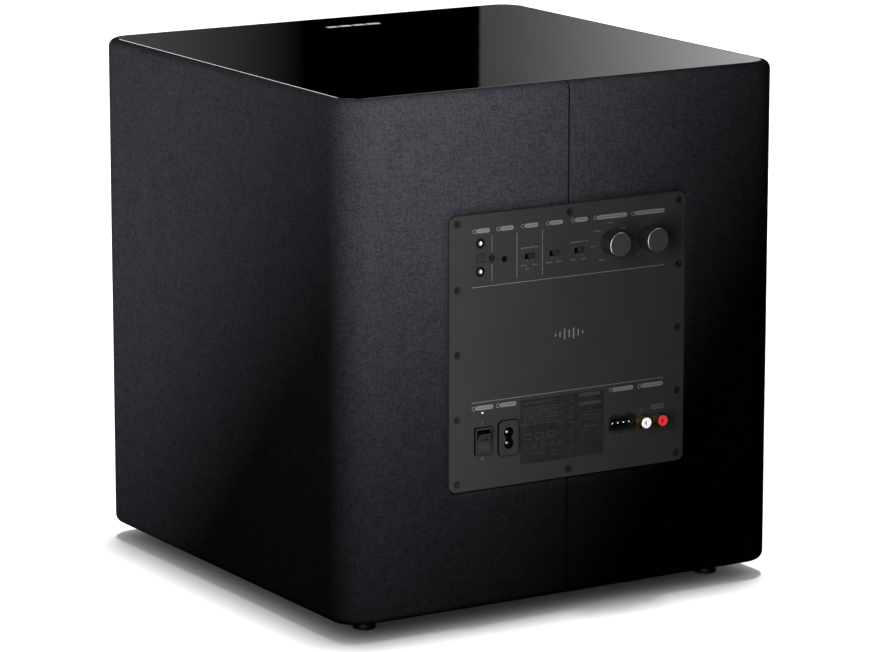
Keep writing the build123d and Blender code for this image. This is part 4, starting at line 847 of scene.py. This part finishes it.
def make_expansion_lid():
    """Black rings round the two threaded inserts, painted shade for the dark of their holes, with a faint
    outline and mark between them.
    """
    lid = FlatShapes(PLATE_FACE, PRINT_T)
    lid.box_line(75.6, 83.0, 72.6, 6.2, 0.5, LINE)
    low, high = ((corner - PLATE_MIDDLE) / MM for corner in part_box("expansion_inserts"))
    radius = (high.x - low.x) / 2
    # painted shade: black rings on the plate, where the holes round the inserts are dark
    for z in (low.z + radius, high.z - radius):
        lid.ring((low.x + high.x) / 2, z, radius + 1.5, 1.7)
    for k in range(3):
        lid.ring(77.3 + 2.0 * k, 72.6, 0.5, 0.25, 8)
    piece = new_piece("expansion_lid", lid.mesh("expansion_lid"), ink("faint_dark_ink", 0.004))


def make_top_mark():
    """Row of plain bars on the gloss top near its front edge, where a badge would be."""
    bars = ((5.0, 14.6), (-7.5, 3.0), (-20.5, -9.5), (-35.0, -22.5))
    depth = 7.0
    y = TOP_LOW.y + 46.0 * MM
    bm = bmesh.new()
    for x0, x1 in bars:
        outline = rounded_outline(x0, x1, 0.0, depth, 1.0, 4)
        top = [bm.verts.new((x * MM, y + z * MM, TOP_HIGH.z + PRINT_T)) for x, z in outline]
        base = [bm.verts.new((x * MM, y + z * MM, TOP_HIGH.z - PRINT_SUNK)) for x, z in outline]
        bm.faces.new(top)
        bm.faces.new(list(reversed(base)))
        for k in range(len(top)):
            after = (k + 1) % len(top)
            bm.faces.new((top[k], base[k], base[after], top[after]))
    bmesh.ops.recalc_face_normals(bm, faces=bm.faces)
    mesh = bpy.data.meshes.new("top_mark")
    bm.to_mesh(mesh)
    bm.free()
    piece = new_piece("top_mark", mesh, ink("top_mark_ink", 0.75))


# ================================================================ studio
# Two grey flats that only gloss sees, half a turn apart: azimuth of each one's sharp edge, in degrees.
FLAT_EDGES = (-121.84, 58.16)
FLAT_LEVELS = (0.115, 0.06, 0.037)  # radiance at the edge, its rise per degree, and per degree squared
FLAT_RISE = 5.0  # degrees over which a flat rises
FLAT_FADE = (9.0, 34.0)  # degrees from the edge at which it starts and ends fading
HAZE = 0.14  # radiance of the haze on the edge's other side
HAZE_FROM, HAZE_FULL, HAZE_END = 2.3, 5.0, 30.0  # degrees from the edge
OVERHEAD = 0.4  # radiance of the glow straight up
OVERHEAD_FROM, OVERHEAD_FULL = 0.25, 0.95  # sine of the elevation
# Softboxes that only gloss sees: azimuth, elevation, solid and faded radius in degrees, radiance.
SOFTBOXES = (
    (-76.0, 30.5, 9.0, 16.0, 12.0),
    (157.7, 56.7, 9.0, 16.0, 5.0),
    (-3.0, 71.7, 9.0, 20.0, 6.0),
)
FILL = 0.008  # radiance that every ray but camera and glossy ones gets from all round
FLOOR_SIZE = 30.0


def make_floor():
    """Pale floor. It is lit by its own lights and sends no light back, so that dark cloth stays dark."""
    bm = bmesh.new()
    bmesh.ops.create_grid(bm, x_segments=1, y_segments=1, size=FLOOR_SIZE)
    mesh = bpy.data.meshes.new("floor")
    bm.to_mesh(mesh)
    bm.free()
    floor = bpy.data.objects.new("floor", mesh)
    bpy.context.scene.collection.objects.link(floor)
    s = Surface("pale_floor", grey(0.9), 0.9)
    s.put("Specular IOR Level", 0.0)
    s.tone(s.noise(0.4), 0.995, 1.005)
    mesh.materials.append(s.material)
    floor.visible_diffuse = False
    floor.visible_glossy = False
    return floor


def lit_only(lights, objects, name):
    """The lights reach only these objects."""
    group = bpy.data.collections.new(name)
    for o in objects:
        group.objects.link(o)
    for light in lights:
        light.light_linking.receiver_collection = group


def add_light(name, kind, place, towards, power, **settings):
    """Adds a light at a place, aimed at another, that the camera doesn't see."""
    data = bpy.data.lights.new(name, kind)
    data.energy = power
    for key, value in settings.items():
        setattr(data, key, value)
    light = bpy.data.objects.new(name, data)
    bpy.context.scene.collection.objects.link(light)
    light.location = place
    light.rotation_mode = "QUATERNION"
    light.rotation_quaternion = (Vector(towards) - Vector(place)).to_track_quat("-Z", "Y")
    light.visible_camera = False
    return light


def strip(name, place, towards, width, height, power):
    """Rectangular softbox."""
    return add_light(name, "AREA", place, towards, power, shape="RECTANGLE", size=width, size_y=height)


def light_scene(floor, plate_parts, bright_parts):
    """Strips for the cloth and feet, one for the plate, one for its bright fittings, and the floor's own."""
    apart = [floor, NODES["top_plate"], *plate_parts]
    others = [o for o in bpy.context.scene.objects if o.type == "MESH" and o not in apart]
    strips = [
        strip("rear_strip", (0.339, 0.757, 0.529), (0.548, 0.498, 0.664), 0.98, 0.58, 9.1),
        strip("side_strip", (0.710, 0.218, 0.594), (0.546, -0.090, 0.878), 0.02, 1.45, 6.3),
        strip("front_softbox", (-0.55, -0.85, 0.65), (0.0, -0.1, 0.22), 0.6, 0.6, 9.0),
    ]
    lit_only(strips, others, "cabinet_only")
    plate_strip = strip("plate_strip", (0.35, 0.42, 0.16), (0.05, 0.19, 0.18), 0.20, 0.9, 5.7)
    lit_only([plate_strip], plate_parts, "plate_only")
    fittings_strip = strip("fittings_strip", (0.25, 0.60, 0.20), (0.0, 0.19, 0.15), 0.15, 0.5, 2.5)
    lit_only([fittings_strip], bright_parts, "fittings_only")
    key = add_light("floor_key", "SUN", (-0.020, -0.020, 0.40), (0, 0, 0), 3.6, angle=math.radians(9))
    dome = add_light("floor_dome", "SUN", (0, 0, 3), (0, 0, 0), 1.9, angle=math.radians(170))
    lit_only([key, dome], [floor], "floor_only")


def make_world():
    """White to the camera, a dark studio with flats and softboxes to gloss, and a little fill to the rest."""
    world = bpy.data.worlds.new("studio")
    bpy.context.scene.world = world
    world.use_nodes = True
    tree = world.node_tree
    tree.nodes.clear()

    def add(kind, inputs=None, **settings):
        return add_node(tree, kind, inputs, **settings)

    def ramp(value, low, high, out_low=0.0, out_high=1.0, kind="LINEAR"):
        """value moved from the range low..high to out_low..out_high, clamped."""
        inputs = {"Value": value, 1: low, 2: high, 3: out_low, 4: out_high}
        return add("ShaderNodeMapRange", inputs, interpolation_type=kind).outputs[0]

    def calc(operation, a, b=0.0):
        return add("ShaderNodeMath", {0: a, 1: b}, operation=operation).outputs[0]

    direction = add("ShaderNodeTexCoord").outputs["Generated"]
    way = add("ShaderNodeSeparateXYZ", {0: direction})
    turn = calc("MULTIPLY", calc("ARCTAN2", way.outputs[1], way.outputs[0]), 180 / math.pi)
    # Each flat brightens away from its sharp edge. On the edge's other side a haze lies beyond a dark gap.
    seen = 0.0
    for edge in FLAT_EDGES:
        into = ramp(turn, edge, edge - FLAT_RISE, 0.0, FLAT_RISE)
        slope = calc("ADD", calc("MULTIPLY", into, FLAT_LEVELS[2]), FLAT_LEVELS[1])
        level = calc("ADD", calc("MULTIPLY", slope, into), FLAT_LEVELS[0])
        faded = ramp(turn, edge - FLAT_FADE[0], edge - FLAT_FADE[1], 1.0, 0.0, "SMOOTHSTEP")
        flat = calc("MULTIPLY", ramp(turn, edge + 0.02, edge - 0.02), faded)
        seen = calc("ADD", calc("MULTIPLY", level, flat), seen)
        rising = ramp(turn, edge + HAZE_FROM, edge + HAZE_FULL, 0.0, HAZE)
        falling = ramp(turn, edge + HAZE_END, edge + HAZE_FULL)
        seen = calc("ADD", seen, calc("MULTIPLY", rising, falling))
    for azimuth, elevation, inner, outer, level in SOFTBOXES:
        a, e = math.radians(azimuth), math.radians(elevation)
        axis = (math.cos(a) * math.cos(e), math.sin(a) * math.cos(e), math.sin(e))
        near = add("ShaderNodeVectorMath", {0: direction, 1: axis}, operation="DOT_PRODUCT").outputs["Value"]
        edges = (math.cos(math.radians(outer)), math.cos(math.radians(inner)))
        seen = calc("ADD", seen, ramp(near, *edges, 0.0, level, "SMOOTHSTEP"))
    seen = calc("ADD", seen, ramp(way.outputs[2], OVERHEAD_FROM, OVERHEAD_FULL, 0.0, OVERHEAD))
    rays = add("ShaderNodeLightPath").outputs
    shown = add("ShaderNodeMix", {0: rays["Is Glossy Ray"], 2: FILL, 3: seen}).outputs[0]
    shown = add("ShaderNodeMix", {0: rays["Is Camera Ray"], 2: shown, 3: 1.0}).outputs[0]
    background = add("ShaderNodeBackground", {"Color": (1, 1, 1, 1), "Strength": shown})
    output = add("ShaderNodeOutputWorld")
    tree.links.new(background.outputs[0], output.inputs[0])


CAMERA_AZIMUTH, CAMERA_ELEVATION = 148.76, 12.02
CAMERA_DISTANCE = 3.503
CAMERA_LENS, CAMERA_SENSOR = 181.25, 36.0
CAMERA_DROP = 0.01788  # the picture's middle is this far below half the object's height
CAMERA_ASIDE = (-0.0004, 0.0002)  # and this far from the cabinet's middle in x and y


def make_camera():
    """Camera where the photo was taken from, as solved from the cabinet's edges, corners and plate."""
    data = bpy.data.cameras.new("camera")
    data.lens = CAMERA_LENS
    data.sensor_width = CAMERA_SENSOR
    camera = bpy.data.objects.new("camera", data)
    bpy.context.scene.collection.objects.link(camera)
    a, e = math.radians(CAMERA_AZIMUTH), math.radians(CAMERA_ELEVATION)
    back = Vector((math.sin(a) * math.cos(e), -math.cos(a) * math.cos(e), math.sin(e)))
    low, high = CAD_BOX
    height = (low.z + high.z) / 2 - CAMERA_DROP
    target = Vector((CAMERA_ASIDE[0], CABINET_MIDDLE.y + CAMERA_ASIDE[1], height))
    camera.location = target + back * CAMERA_DISTANCE
    camera.rotation_mode = "QUATERNION"
    camera.rotation_quaternion = (-back).to_track_quat("-Z", "Y")
    bpy.context.scene.camera = camera


# ================================================================ put together
materials = finishes()
finish_nodes(materials)
make_cloth(materials["charcoal_fabric"])
make_plate_print()
make_label_print()
make_expansion_lid()
make_top_mark()

PLATE_PARTS = [
    "amp_plate", "amp_screws", "crossover_knob", "volume_knob", "slide_switch_bodies", "eq_switch_tab",
    "phase_switch_tab", "mode_switch_tab", "rocker_housing", "power_rocker", "mains_inlet", "inlet_pins",
    "terminal_header", "header_pins", "jack_barrels", "white_jack_lining", "red_jack_lining",
    "trigger_jack", "expansion_inserts", "led_lens", "info_label",
]
PLATE_PRINTS = ["plate_print_light", "plate_print_dark", "plate_print_dim", "label_print", "expansion_lid"]
BRIGHT_PARTS = ["inlet_pins", "header_pins", "white_jack_lining", "red_jack_lining", "expansion_inserts"]
plate_parts = [NODES[n] for n in PLATE_PARTS] + [bpy.data.objects[n] for n in PLATE_PRINTS]
bright_parts = [NODES[n] for n in BRIGHT_PARTS]

bpy.context.scene.view_settings.view_transform = "Standard"
make_world()
light_scene(make_floor(), plate_parts, bright_parts)
make_camera()
